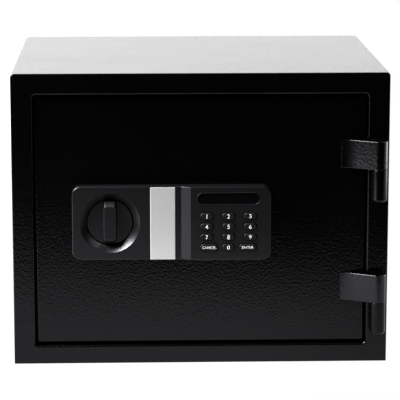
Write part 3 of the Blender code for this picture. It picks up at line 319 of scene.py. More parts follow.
def powder_coat(name, colour, roughness, relief, specular=0.23):
    """Wrinkled powder coat: shallow pebbles about 3 mm across, with a finer grain over them.
    relief is the depth of the pebbles in metres."""
    made, tree, shader = new_material(name, colour, roughness)
    shader.inputs["Specular IOR Level"].default_value = specular
    shader.inputs["Specular Tint"].default_value = (*COOL_SHEEN, 1)
    place = object_coordinates(tree)
    warp = tree.nodes.new("ShaderNodeTexNoise")
    warp.inputs["Scale"].default_value = WARP_SCALE
    warp.inputs["Detail"].default_value = 1
    tree.links.new(place, warp.inputs["Vector"])
    push = tree.nodes.new("ShaderNodeVectorMath")
    push.operation = "MULTIPLY_ADD"
    push.inputs[1].default_value = (WARP, WARP, WARP)
    tree.links.new(warp.outputs["Color"], push.inputs[0])
    tree.links.new(place, push.inputs[2])
    pebbles = tree.nodes.new("ShaderNodeTexVoronoi")
    pebbles.feature = "SMOOTH_F1"
    pebbles.inputs["Scale"].default_value = PEBBLES
    pebbles.inputs["Smoothness"].default_value = PEBBLE_SMOOTHNESS
    tree.links.new(push.outputs["Vector"], pebbles.inputs["Vector"])
    grain = noise(tree, place, 900, detail=3)
    coarse = bump(tree, shader, pebbles.outputs["Distance"], 1.0, relief)
    bump(tree, shader, grain, 0.5, relief / 3, coarse)
    cloud = noise(tree, place, 9, detail=3)
    shade_colour(tree, shader, cloud, tinted(colour, 0.7), tinted(colour, 1.3))
    tree.links.new(
        remap(tree, cloud, roughness - 0.01, roughness + 0.01, 0.3, 0.7), shader.inputs["Roughness"]
    )
    return made


def moulded(name, colour, roughness, strength=0.25, scale=2600, specular=0.5):
    """Moulded plastic or rubber with a fine spark-eroded grain."""
    made, tree, shader = new_material(name, colour, roughness)
    shader.inputs["Specular IOR Level"].default_value = specular
    shader.inputs["Specular Tint"].default_value = (*COOL_SHEEN, 1)
    place = object_coordinates(tree)
    grain = noise(tree, place, scale, detail=2)
    bump(tree, shader, grain, strength, 0.0001)
    cloud = noise(tree, place, 40, detail=3)
    shade_colour(tree, shader, cloud, tinted(colour, 0.85), tinted(colour, 1.15))
    tree.links.new(
        remap(tree, grain, roughness - 0.04, roughness + 0.04, 0.3, 0.7), shader.inputs["Roughness"]
    )
    return made


def metal(
    name, colour, roughness, stretch=(1, 1, 1), scale=900, strength=0.08, metallic=1.0, spread=0.06
):
    """Bare, plated or metal-painted. stretch draws the grain out, as brushing or turning does, and
    spread is how far the roughness varies with it."""
    made, tree, shader = new_material(name, colour, roughness, metallic)
    place = object_coordinates(tree, stretch)
    grain = noise(tree, place, scale, detail=4)
    bump(tree, shader, grain, strength, 0.0001)
    cloud = noise(tree, object_coordinates(tree), 25, detail=3)
    shade_colour(tree, shader, cloud, tinted(colour, 0.94), tinted(colour, 1.04))
    tree.links.new(
        remap(tree, grain, roughness - spread, roughness + spread, 0.3, 0.7),
        shader.inputs["Roughness"],
    )
    return made


def mineral(name, colour):
    """Poured fire fill: pale and porous, with painted shade darkening the pits of its bump."""
    made, tree, shader = new_material(name, colour, 0.95)
    place = object_coordinates(tree)
    pores_and_pit_shade = noise(tree, place, 220, detail=6, rough=0.7)
    bump(tree, shader, pores_and_pit_shade, 0.6, 0.0008)
    # Painted shade: the colour darkens where the bump sinks into the pits.
    shade_colour(tree, shader, pores_and_pit_shade, tinted(colour, 0.75), tinted(colour, 1.1))
    return made


def legend_ink():
    """White print, a little uneven."""
    made, tree, shader = new_material("legend_white", (0.80, 0.80, 0.80), 0.6)
    wear = noise(tree, object_coordinates(tree), 1500, detail=2)
    shade_colour(tree, shader, wear, (0.74, 0.74, 0.74), (0.86, 0.86, 0.86))
    return made


def lens_gloss():
    """Glossy black lens with faint dust."""
    made, tree, shader = new_material("lens_gloss", (0.002, 0.002, 0.0025), 0.06)
    dust = noise(tree, object_coordinates(tree), 1800, detail=2)
    tree.links.new(remap(tree, dust, 0.04, 0.10, 0.45, 0.75), shader.inputs["Roughness"])
    return made


looks = {
    "powder_coat": powder_coat("powder_coat", BLACK, 0.20, 0.00020),
    "liner_paint": powder_coat("liner_paint", (0.20, 0.205, 0.21), 0.5, 0.0001, 0.5),
    "fire_fill": mineral("fire_fill", (0.62, 0.60, 0.56)),
    "zinc_steel": metal("zinc_steel", (0.62, 0.62, 0.60), 0.36),
    "bolt_steel": metal("bolt_steel", (0.56, 0.57, 0.58), 0.24, (0.1, 1, 1)),
    "satin_aluminium": metal(
        "satin_aluminium", (0.95, 0.95, 0.96), 0.31, (1, 1, 0.03), 1600, 0.02, 0.73, 0.02
    ),
    "housing_plastic": moulded("housing_plastic", BLACK_PLASTIC, 0.34),
    "key_plastic": moulded("key_plastic", BLACK_PLASTIC, 0.54, 0.12, specular=0.25),
    "lens": lens_gloss(),
    "rubber": moulded("rubber", (0.018, 0.018, 0.018), 0.85, 0.4, 1400),
    "circuit_board": moulded("circuit_board", (0.02, 0.16, 0.06), 0.45),
    "brass": metal("brass", (0.72, 0.55, 0.25), 0.30),
    "battery_wrap": moulded("battery_wrap", (0.10, 0.11, 0.12), 0.35, 0.05),
    "copper_coil": metal("copper_coil", (0.45, 0.20, 0.09), 0.40, (1, 1, 6), 900, 0.3),
}
LEGEND_WHITE = legend_ink()
HINGE_COAT = powder_coat("hinge_coat", BLACK, 0.18, 0.00008, 0.42)
BARREL_COAT = powder_coat("barrel_coat", BLACK, 0.18, 0.00005, 0.2)


# ---------------------------------------------------------------- modelling helpers


def add_object(name, mesh, material):
    obj = bpy.data.objects.new(name, mesh)
    bpy.context.scene.collection.objects.link(obj)
    if material is not None:
        mesh.materials.append(material)
    return obj


def piece(obj, body, slot, *replaced):
    """obj rides on this body and stands for these CAD nodes. slot is not used."""
    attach(obj, body)
    if replaced:
        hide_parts(*replaced)
    return obj


def bevel(obj, width, segments=3, angle=SMOOTH_ANGLE):
    modifier = obj.modifiers.new("bevel", "BEVEL")
    modifier.width = width
    modifier.segments = segments
    modifier.limit_method = "ANGLE"
    modifier.angle_limit = angle
    return obj


def even_normals(obj):
    """Smooth shading in which the large flat faces stay flat."""
    obj.data.shade_smooth()
    modifier = obj.modifiers.new("even normals", "WEIGHTED_NORMAL")
    modifier.weight = 100
    modifier.keep_sharp = True
    return obj


def settle(obj):
    """Applies the modifiers."""
    bpy.context.view_layer.update()
    evaluated = obj.evaluated_get(bpy.context.evaluated_depsgraph_get())
    mesh = bpy.data.meshes.new_from_object(evaluated)
    obj.modifiers.clear()
    obj.data = mesh
    return obj


def boolean(target, operation, tools):
    """Joins to target, or cuts from it, the tools, which are then removed."""
    for tool in tools:
        modifier = target.modifiers.new("boolean", "BOOLEAN")
        modifier.operation = operation
        modifier.object = tool
    settle(target)
    for tool in tools:
        bpy.data.objects.remove(tool)
    return target


def mesh_from_faces(name, points, faces, material):
    mesh = bpy.data.meshes.new(name)
    mesh.from_pydata(points, [], faces)
    shape = bmesh.new()
    shape.from_mesh(mesh)
    bmesh.ops.remove_doubles(shape, verts=shape.verts, dist=0.000001)
    bmesh.ops.recalc_face_normals(shape, faces=shape.faces)
    shape.to_mesh(mesh)
    shape.free()
    return add_object(name, mesh, material)


def loft(name, rings, material, closed=False):
    """A skin through rings of equal point count, joined end to end if closed, else capped."""
    count = len(rings[0])
    points = [point for ring in rings for point in ring]
    faces = []
    levels = len(rings) if closed else len(rings) - 1
    for level in range(levels):
        low = level * count
        high = (level + 1) % len(rings) * count
        for i in range(count):
            j = (i + 1) % count
            faces.append((low + i, high + i, high + j, low + j))
    if not closed:
        faces.append(tuple(range(count)))
        faces.append(tuple(reversed(range(len(points) - count, len(points)))))
    return mesh_from_faces(name, points, faces, material)


def arc(centre, radius, start, end, steps):
    """Points on an arc, in degrees anticlockwise from the first axis."""
    return [
        (
            centre[0] + radius * math.cos(math.radians(start + (end - start) * i / steps)),
            centre[1] + radius * math.sin(math.radians(start + (end - start) * i / steps)),
        )
        for i in range(steps + 1)
    ]


def rounded_rectangle(x, z, radii, steps=6):
    """Outline with its corner radii: low left, low right, top right, top left."""
    corners = (
        ((x[0], z[0]), (1, 1), 180),
        ((x[1], z[0]), (-1, 1), 270),
        ((x[1], z[1]), (-1, -1), 0),
        ((x[0], z[1]), (1, -1), 90),
    )
    outline = []
    for (corner, inward, start), radius in zip(corners, radii):
        centre = [c + side * radius for c, side in zip(corner, inward)]
        outline += arc(centre, radius, start, start + 90, steps)
    return outline


def ring(x, z, radii, inset, y, steps=6):
    """A rounded rectangle at this depth, drawn in from its outline by inset."""
    outline = rounded_rectangle(
        (x[0] + inset, x[1] - inset),
        (z[0] + inset, z[1] - inset),
        [max(radius - inset, 0.0002) for radius in radii],
        steps,
    )
    return [(u, y, v) for u, v in outline]


def roll(radius, steps):
    """(inset, depth) pairs of a quarter round, from the side to the face."""
    return [
        (radius * (1 - math.cos(math.radians(a))), radius * (1 - math.sin(math.radians(a))))
        for a in [90 * i / steps for i in range(steps + 1)]
    ]


def block(name, x, y, z, material=None):
    """A box over these spans."""
    mesh = bpy.data.meshes.new(name)
    shape = bmesh.new()
    bmesh.ops.create_cube(shape, size=1)
    bmesh.ops.scale(shape, vec=[b - a for a, b in (x, y, z)], verts=shape.verts)
    bmesh.ops.translate(shape, vec=[(a + b) / 2 for a, b in (x, y, z)], verts=shape.verts)
    shape.to_mesh(mesh)
    shape.free()
    return add_object(name, mesh, material)


def prism(name, plane, outline, span, material=None):
    """An outline drawn out over this span of the axis square to its plane, XZ or XY."""
    if plane == "XZ":
        rings = [[(u, depth, v) for u, v in outline] for depth in span]
    else:
        rings = [[(u, v, depth) for u, v in outline] for depth in span]
    return loft(name, rings, material)


def turned(name, axis, start, profile, material=None, segments=64):
    """A turned solid. profile lists (radius, distance along the axis) from one end to the other."""
    turn = {
        "X": Matrix.Rotation(math.pi / 2, 3, "Y"),
        "Y": Matrix.Rotation(-math.pi / 2, 3, "X"),
        "Z": Matrix.Identity(3),
    }[axis]
    rings = []
    for radius, along in profile:
        rings.append(
            [
                Vector(start)
                + turn @ Vector((radius * math.cos(2 * math.pi * i / segments),
                                 radius * math.sin(2 * math.pi * i / segments), along))
                for i in range(segments)
            ]
        )
    return loft(name, rings, material)


def drill(name, start, radius, length):
    """A cutter for a round hole, running back from start."""
    profile = [(CORE, 0), (radius, 0), (radius, length), (CORE, length)]
    return turned(name, "Y", start, profile, segments=48)


def pill(centre, size, inset=0.0, steps=10):
    """Outline of a bar with round ends, drawn in by inset."""
    half_x = size[0] / 2 - inset
    half_z = size[1] / 2 - inset
    radius = half_z * 0.9999
    return rounded_rectangle(
        (centre[0] - half_x, centre[0] + half_x), (centre[1] - half_z, centre[1] + half_z),
        [radius] * 4, steps,
    )


# ---------------------------------------------------------------- steel body


def casing():
    """Folded casing, open behind, with an opening below that the base plate fills. Its front edges
    are rolled, and a rolled lip turns into the doorway."""
    x = (casing_low.x, casing_high.x)
    z = (BASE_Z, TOP_Z)
    radii = (SQUARE_CORNER, SQUARE_CORNER, CORNER_RADIUS, CORNER_RADIUS)
    rings = [ring(x, z, radii, inset, y) for inset, y in ((SHEET, BACK_Y), (EDGE_BREAK, BACK_Y))]
    rings.append(ring(x, z, radii, 0, BACK_Y - EDGE_BREAK))
    rings += [ring(x, z, radii, inset, FRONT_Y + depth) for inset, depth in roll(FRONT_ROLL, 6)]

    jamb_low, jamb_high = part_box("jamb_frame")
    cover = SHEET + LIP_OVERLAP
    opening_x = (jamb_low.x + cover, jamb_high.x - cover)
    opening_z = (jamb_low.z + cover, jamb_high.z - cover)
    corners = [DOORWAY_CORNER] * 4

    def doorway(outset, y):
        return ring(opening_x, opening_z, corners, -outset, y)

    rings += [doorway(outset, FRONT_Y + depth) for outset, depth in reversed(roll(LIP_ROLL, 6))]
    rings.append(doorway(0, FRONT_Y + LIP_DEPTH))
    rings.append(doorway(LIP_THICKNESS, FRONT_Y + LIP_DEPTH))
    rings.append(doorway(LIP_THICKNESS, FRONT_Y + SHEET))
    rings.append(ring(x, z, radii, SHEET, FRONT_Y + SHEET))
    shell = loft("casing", rings, looks["powder_coat"], closed=True)

    base_low, base_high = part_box("base_plate")
    opening = block(
        "opening_below",
        (base_low.x - BASE_GAP, base_high.x + BASE_GAP),
        (base_low.y - BASE_GAP, BACK_Y + OVERRUN),
        (BASE_Z - OVERRUN, base_high.z + BASE_GAP),
    )
    boolean(shell, "DIFFERENCE", [opening])
    return piece(even_normals(shell), "body", "powder_coat", "outer_casing")


def door_panel():
    """Front pan of the door, with rolled edges, a return flange behind, and holes for the knob's
    spindle, the override lock and the keypad's wires."""
    x = (door_low.x, door_high.x)
    z = (door_low.z, door_high.z)
    back = door_high.y
    radii = [DOOR_CORNER] * 4
    rings = [
        ring(x, z, radii, inset, FACE_Y + depth) for inset, depth in reversed(roll(DOOR_ROLL, 6))
    ]
    rings += [ring(x, z, radii, inset, back - depth) for inset, depth in roll(DOOR_BACK_ROLL, 4)]
    rings.append(ring(x, z, radii, RETURN_FLANGE, back))
    rings.append(ring(x, z, radii, RETURN_FLANGE, back - SHEET))
    rings.append(ring(x, z, radii, SHEET, back - SHEET))
    rings.append(ring(x, z, radii, SHEET, FACE_Y + SHEET))
    panel = loft("door_panel", rings, looks["powder_coat"])

    spindle = middle("spindle")
    lock = middle("override_lock_body")
    places = (
        (spindle.x, spindle.z, SPINDLE_HOLE),
        (lock.x, lock.z, LOCK_HOLE),
        (*WIRE_PLACE, WIRE_HOLE),
    )
    holes = [
        drill("door_hole", (hole_x, FACE_Y - SHEET, hole_z), radius, 3 * SHEET)
        for hole_x, hole_z, radius in places
    ]
    boolean(panel, "DIFFERENCE", holes)
    return piece(even_normals(panel), "door", "powder_coat", "door_skin")


def back_panel():
    """Back plate, with its middle pressed in a little to stiffen it."""
    low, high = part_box("back_plate")
    x, z = (low.x, high.x), (low.z, high.z)
    radii = (SQUARE_CORNER, SQUARE_CORNER, CORNER_RADIUS - SHEET, CORNER_RADIUS - SHEET)
    rings = [ring(x, z, radii, 0, low.y)]
    rings += [ring(x, z, radii, inset, BACK_Y - depth) for inset, depth in roll(EDGE_BREAK, 3)]
    flat = [BACK_MARGIN] * 4
    middle_x = (x[0] + BACK_MARGIN, x[1] - BACK_MARGIN)
    middle_z = (z[0] + BACK_MARGIN, z[1] - BACK_MARGIN)
    for share in [i / 6 for i in range(7)]:
        depth = BACK_PRESS * (1 - math.cos(math.pi * share)) / 2
        rings.append(ring(middle_x, middle_z, flat, BACK_PRESS_WIDTH * share, BACK_Y - depth))
    panel = loft("back_panel", rings, looks["powder_coat"])
    return piece(even_normals(panel), "body", "powder_coat", "back_plate")


# ---------------------------------------------------------------- hinges


def strap_outline(left, back):
    """Seen from above: flat on the door, up to the front of the barrel, and round the pin."""
    bend = Vector((left + STRAP_BEND, back - STRAP_END))
    centre = Vector((PIN_X, PIN_Y))
    to_centre = centre - bend
    slope = math.atan2(to_centre.y, to_centre.x) - math.asin(BARREL_RADIUS / to_centre.length)
    along = Vector((math.cos(slope), math.sin(slope)))
    inward = Vector((-along.y, along.x))
    inset = BARREL_RADIUS - STRAP_THICKNESS
    meeting = centre - inward * inset - along * math.sqrt(BARREL_RADIUS**2 - inset**2)
    rear_foot = meeting + along * ((back - meeting.y) / along.y)
    first = math.degrees(slope) - 90
    last = math.degrees(math.atan2(meeting.y - centre.y, meeting.x - centre.x)) % 360
    # The thin end lies flat, and the front face lifts from it in one easy curve
    start = Vector((left, back - STRAP_END))
    after = bend + along * STRAP_BEND_REACH
    steps = [i / 12 for i in range(13)]
    curve = [start.lerp(bend, t).lerp(bend.lerp(after, t), t) for t in steps]
    outline = [(left, back)]
    outline += [tuple(point) for point in curve]
    outline += arc(centre, BARREL_RADIUS, first, last, 44)
    outline.append(tuple(rear_foot))
    return outline


def build_hinge(place):
    low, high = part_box(f"hinge_strap_{place}")
    outline = strap_outline(low.x, FACE_Y - GAP)
    strap = prism(f"strap_{place}", "XY", outline, (low.z, high.z), HINGE_COAT)
    bevel(strap, STRAP_EDGE_ROUNDING, 5, math.radians(50))
    piece(even_normals(strap), "door", "powder_coat", f"hinge_strap_{place}")

    low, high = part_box(f"hinge_barrel_{place}")
    height = high.z - low.z
    shoulder = (BARREL_RADIUS - BARREL_ROUNDING, BARREL_ROUNDING)
    profile = [(CORE, 0)]
    profile += arc(shoulder, BARREL_ROUNDING, -90, 0, 8)
    profile += [
        (BARREL_RADIUS, height - EDGE_BREAK),
        (BARREL_RADIUS - EDGE_BREAK, height),
        (CORE, height),
    ]
    barrel = turned(f"barrel_{place}", "Z", (PIN_X, PIN_Y, low.z), profile, BARREL_COAT)
    piece(
        even_normals(barrel), "body", "powder_coat", f"hinge_barrel_{place}", f"hinge_pin_{place}"
    )
    foot = block(
        f"barrel_foot_{place}",
        (PIN_X - BARREL_FOOT, PIN_X + BARREL_FOOT),
        (PIN_Y + 0.002, FRONT_Y - 0.0001),
        (low.z + BARREL_ROUNDING, high.z - 0.002),
        HINGE_COAT,
    )
    bevel(foot, EDGE_BREAK, 2)
    piece(even_normals(foot), "body", "powder_coat")


# ---------------------------------------------------------------- lock housing


def lock_housing():
    """Moulded housing with a dish for the knob, a ramp up to the keypad, and its openings."""
    low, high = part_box("lock_housing")
    x, z = (low.x, high.x), (low.z, high.z)
    outline = rounded_rectangle(x, z, [HOUSING_CORNER] * 4, 12)
    housing = prism(
        "housing", "XZ", outline, (forward(KEYPAD_SIDE_DEPTH), high.y), looks["housing_plastic"]
    )
    knob_side = prism(
        "ramp",
        "XY",
        [
            (x[0] - OVERRUN, forward(KNOB_SIDE_DEPTH)),
            (RAMP_X[0], forward(KNOB_SIDE_DEPTH)),
            (RAMP_X[1], forward(KEYPAD_SIDE_DEPTH)),
            (RAMP_X[1], forward(HOUSING_FRONT)),
            (x[0] - OVERRUN, forward(HOUSING_FRONT)),
        ],
        (z[0] - OVERRUN, z[1] + OVERRUN),
    )
    boolean(housing, "DIFFERENCE", [knob_side])
    settle(bevel(housing, HOUSING_ROUNDING, 6))
    boolean(housing, "DIFFERENCE", [dish(), *strip_seat(x, z), *keypad_holes(), *rooms(x, z)])
    bevel(housing, HOUSING_EDGE, 2, RAMP_EDGE_ANGLE)
    return piece(even_normals(housing), "door", "housing_plastic", "lock_housing")


def dish():
    """Cutter for the cone-shaped dish, and for the hole that the knob's disc turns in."""
    centre = middle("knob")
    start = (centre.x, forward(KNOB_SIDE_DEPTH + DISH_LEAD), centre.z)
    floor = KNOB_SIDE_DEPTH + DISH_LEAD - KNOB_DISC_DEPTH - DISH_UNDER_DISC
    slope = (DISH_RADIUS - KNOB_HOLE_RADIUS) / (floor - DISH_LEAD)
    back = KNOB_SIDE_DEPTH + 2 * DISH_LEAD
    profile = [
        (CORE, 0),
        (DISH_RADIUS + slope * DISH_LEAD, 0),
        (KNOB_HOLE_RADIUS, floor),
        (KNOB_HOLE_RADIUS, back),
        (CORE, back),
    ]
    return turned("dish", "Y", start, profile, segments=96)


def strip_seat(x, z):
    """Cutters for the strip's seat, the notches for its hooks, and the bore behind it."""
    low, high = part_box("key_cover")
    across = (low.x - GAP, high.x + GAP)
    seat = (forward(CUTTER_FRONT), forward(STRIP_SEAT_DEPTH))
    notch = (forward(CUTTER_FRONT), forward(NOTCH_DEPTH))
    bottom, top = z[0] - OVERRUN / 2, z[1] + OVERRUN / 2
    lock = middle("override_lock_body")
    return [
        block("seat", across, seat, (bottom, top)),
        block("notch_top", across, notch, (z[1] - NOTCH, top)),
        block("notch_bottom", across, notch, (bottom, z[0] + NOTCH)),
        drill("lock_hole", (lock.x, forward(LOCK_BORE_FRONT), lock.z), LOCK_BORE, 2 * OVERRUN),
    ]


def keypad_holes():
    """Cutters for the keys and the display, each a little larger than its piece."""
    tools = []
    for node in (*KEYS, "display_lens"):
        low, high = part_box(node)
        centre = ((low.x + high.x) / 2, (low.z + high.z) / 2)
        play = KEY_PLAY if node in KEYS else GAP
        size = (high.x - low.x + 2 * play, high.z - low.z + 2 * play)
        span = (forward(CUTTER_FRONT), forward(KEYPAD_HOLE_DEPTH))
        tools.append(prism(f"hole_{node}", "XZ", pill(centre, size), span))
    return tools


def rooms(x, z):
    """Cutters for the hollows behind both sides, open to the door."""
    wall = HOUSING_WALL
    back = forward(ROOM_BACK)
    height = (z[0] + wall, z[1] - wall)
    strip_low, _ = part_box("key_cover")
    keypad_room = (RAMP_X[1] + wall, x[1] - wall)
    knob_room = (x[0] + wall, strip_low.x - wall)
    return [
        block("keypad_room", keypad_room, (forward(KEYPAD_SIDE_DEPTH - wall), back), height),
        block("knob_room", knob_room, (forward(KNOB_ROOM_DEPTH), back), height),
    ]


def grip_section(centre, half_width, half_length, end_width, depth):
    """Eight corners of the grip's outline at one depth, narrowed at both ends."""
    shoulder = half_length - (half_width - end_width) * GRIP_END_SLOPE
    right = [
        (end_width, -half_length),
        (half_width, -shoulder),
        (half_width, shoulder),
        (end_width, half_length),
    ]
    outline = right + [(-u, -v) for u, v in right]
    return [(centre.x + u, forward(depth), centre.z + v) for u, v in outline]


def knob():
    """Disc with a rounded rim, and the grip across it, whose ends slope back to the disc."""
    low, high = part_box("knob")
    centre = middle("knob")
    radius = (high.x - low.x) / 2
    front = forward(KNOB_DISC_DEPTH)
    thickness = forward(KNOB_DISC_BACK) - front
    rim = KNOB_RIM
    profile = [(CORE, 0), (radius - rim, 0)]
    profile += [(radius - rim + r, rim + z) for r, z in arc((0, 0), rim, -90, 0, 5)]
    profile += [(radius, thickness - GAP), (radius - GAP, thickness), (CORE, thickness)]
    start = (centre.x, front, centre.z)
    disc = turned("knob_disc", "Y", start, profile, looks["housing_plastic"], 96)
    piece(even_normals(disc), "knob_and_crank", "housing_plastic", "knob")
    sections = [grip_section(centre, *section) for section in GRIP_SECTIONS]
    grip = loft("knob_grip", sections, looks["housing_plastic"])
    bevel(grip, GRIP_ROUNDING, 3, math.radians(12))
    piece(even_normals(grip), "knob_and_crank", "housing_plastic")


def bright_strip():
    """Satin strip with a fine bevel all round, on a black carrier that hooks over both ends."""
    low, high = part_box("key_cover")
    x, z = (low.x, high.x), (low.z, high.z)
    face_z = (z[0] + STRIP_SHORT[0], z[1] - STRIP_SHORT[1])
    face_y = tuple(forward(depth) for depth in STRIP_FACE)
    strip = block("strip", x, face_y, face_z, looks["satin_aluminium"])
    bevel(strip, STRIP_ROUNDING, 3)
    piece(even_normals(strip), "key_cover", "satin_aluminium", "key_cover")
    front, back = (forward(depth) for depth in CARRIER_FACE)
    hook = forward(CARRIER_HOOK_DEPTH)
    outline = [
        (front, z[1]),
        (front, z[0]),
        (hook, z[0]),
        (hook, z[0] + CARRIER_HOOK),
        (back, z[0] + CARRIER_HOOK),
        (back, z[1] - CARRIER_HOOK),
        (hook, z[1] - CARRIER_HOOK),
        (hook, z[1]),
    ]
    rings = [[(side, depth, height) for depth, height in outline] for side in x]
    carrier = loft("strip_carrier", rings, looks["housing_plastic"])
    bevel(carrier, HOUSING_EDGE, 2)
    piece(even_normals(carrier), "key_cover", "satin_aluminium")


def key(node):
    """A key with rounded shoulders."""
    low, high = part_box(node)
    centre = ((low.x + high.x) / 2, (low.z + high.z) / 2)
    size = (high.x - low.x, high.z - low.z)
    levels = [(0.0, high.y)] + [(inset, low.y + depth) for inset, depth in roll(KEY_SHOULDER, 5)]
    rings = [[(u, y, v) for u, v in pill(centre, size, inset)] for inset, y in levels]
    cap = loft(f"{node}_cap", rings, looks["key_plastic"])
    piece(even_normals(cap), node, "key_plastic", node)
    legend(node, centre, low.y)


def legend(node, centre, face_y):
    """Printed digit or word on a key."""
    text = KEYS[node]
    curve = bpy.data.curves.new(f"legend_{text.lower()}", "FONT")
    curve.body = text
    curve.align_x = "CENTER"
    curve.align_y = "CENTER"
    curve.offset = STROKE_WEIGHT
    curve.extrude = 0.02
    source = bpy.data.objects.new("text", curve)
    bpy.context.scene.collection.objects.link(source)
    bpy.context.view_layer.update()
    mesh = bpy.data.meshes.new_from_object(
        source.evaluated_get(bpy.context.evaluated_depsgraph_get())
    )
    bpy.data.objects.remove(source)
    mesh.materials.clear()
    low = Vector([min(v.co[i] for v in mesh.vertices) for i in range(3)])
    high = Vector([max(v.co[i] for v in mesh.vertices) for i in range(3)])
    size = high - low
    if text in WORD_SIZES:
        width, height = WORD_SIZES[text]
    else:
        height = DIGIT_HEIGHT
        width = size.x / size.y * height
    # The font's plane XY becomes XZ, and its extrusion becomes depth
    centre_of_text = (low + high) / 2
    for vertex in mesh.vertices:
        u, v, w = (vertex.co[i] - centre_of_text[i] for i in range(3))
        vertex.co = (
            centre[0] + u * width / size.x,
            face_y - w / size.z * 2 * LEGEND_PROUD,
            centre[1] + v * height / size.y,
        )
    shape = bmesh.new()
    shape.from_mesh(mesh)
    bmesh.ops.remove_doubles(shape, verts=shape.verts, dist=0.0000005)
    bmesh.ops.recalc_face_normals(shape, faces=shape.faces)
    shape.to_mesh(mesh)
    shape.free()
    letters = add_object(f"legend_{text.lower()}", mesh, LEGEND_WHITE)
    piece(letters, node, "key_plastic")


def display():
    """Lens with rounded edges."""
    low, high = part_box("display_lens")
    centre = ((low.x + high.x) / 2, (low.z + high.z) / 2)
    size = (high.x - low.x, high.z - low.z)
    levels = [(0.0, high.y)] + [(inset, low.y + depth) for inset, depth in roll(LENS_ROUNDING, 3)]
    rings = [[(u, y, v) for u, v in pill(centre, size, inset, 14)] for inset, y in levels]
    lens = loft("display", rings, looks["lens"])
    piece(even_normals(lens), "door", "lens", "display_lens")
    display_rim(centre, size)


def display_rim(centre, size):
    """Half-round rim moulded round the display, its foot sunk into the housing."""
    inner = -BEZEL_OUT
    outer = inner - 2 * BEZEL_RADIUS
    sunk = forward(KEYPAD_SIDE_DEPTH - BEZEL_SUNK)
    section = [(inner, sunk)]
    section += arc((inner - BEZEL_RADIUS, forward(KEYPAD_SIDE_DEPTH)), BEZEL_RADIUS, 0, -180, 8)
    section.append((outer, sunk))
    rings = [[(u, y, v) for u, v in pill(centre, size, inset, 14)] for inset, y in section]
    bezel = loft("display_bezel", rings, looks["key_plastic"], closed=True)
    piece(even_normals(bezel), "door", "key_plastic")


# ---------------------------------------------------------------- bolts and carried-over nodes


def bolt(node, body, slot):
    """A turned bolt with a chamfered nose."""
    low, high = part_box(node)
    radius = (high.z - low.z) / 2
    length = high.x - low.x
    nose = radius * 0.18
    profile = [(CORE, 0), (radius - nose, 0), (radius, nose), (radius, length - EDGE_BREAK)]
    profile += [(radius - EDGE_BREAK, length), (CORE, length)]
    centre = (low + high) / 2
    made = turned(f"{node}_turned", "X", (low.x, centre.y, centre.z), profile, looks[slot], 48)
    bevel(made, 0.0004, 2)
    piece(even_normals(made), body, slot, node)


def plunger_spring():
    """Coil spring round the plunger, which the plunger's collar presses up as it lifts."""
    low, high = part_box("plunger_spring")
    centre = (low + high) / 2
    radius = (high.x - low.x) / 2 - SPRING_WIRE
    rise = high.z - low.z - 2 * SPRING_WIRE
    rings = []
    for i in range(SPRING_TURNS * SPRING_STEPS + 1):
        angle = 2 * math.pi * i / SPRING_STEPS
        outward = Vector((math.cos(angle), math.sin(angle), 0))
        height = low.z + SPRING_WIRE + rise * i / (SPRING_TURNS * SPRING_STEPS)
        wire = arc((radius, height), SPRING_WIRE, 0, 315, 7)
        rings.append([(centre.x + r * outward.x, centre.y + r * outward.y, z) for r, z in wire])
    spring = loft("plunger_coil_spring", rings, looks["bolt_steel"])
    piece(even_normals(spring), "door", "bolt_steel", "plunger_spring")
    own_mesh(spring)


def soften(node, width):
    """Rounds a carried-over node's edges a little and evens its shading."""
    obj = nodes[node]
    weld = obj.modifiers.new("weld", "WELD")
    weld.merge_threshold = 0.00001
    bevel(obj, width, 2)
    even_normals(obj)


SOFTENED = {
    "base_plate": 0.0004,
    "jamb_frame": 0.0004,
    "inner_liner": 0.0004,
    "shelf": 0.0005,
    "door_seal": 0.0012,
    "battery_box": 0.0004,
    "battery_cover": 0.0004,
    "override_lock_body": 0.0003,
}


def carry_over():
    """Gives every CAD node its finish, and softens those that show."""
    slot_of = {part["node"]: part["material_slot"] for part in frame["record"]["subparts"]}
    for name, obj in nodes.items():
        finish = looks[slot_of[name]]
        if not obj.material_slots:
            obj.data.materials.append(finish)
        for entry in obj.material_slots:
            entry.material = finish
    for name, width in SOFTENED.items():
        soften(name, width)


# ---------------------------------------------------------------- studio


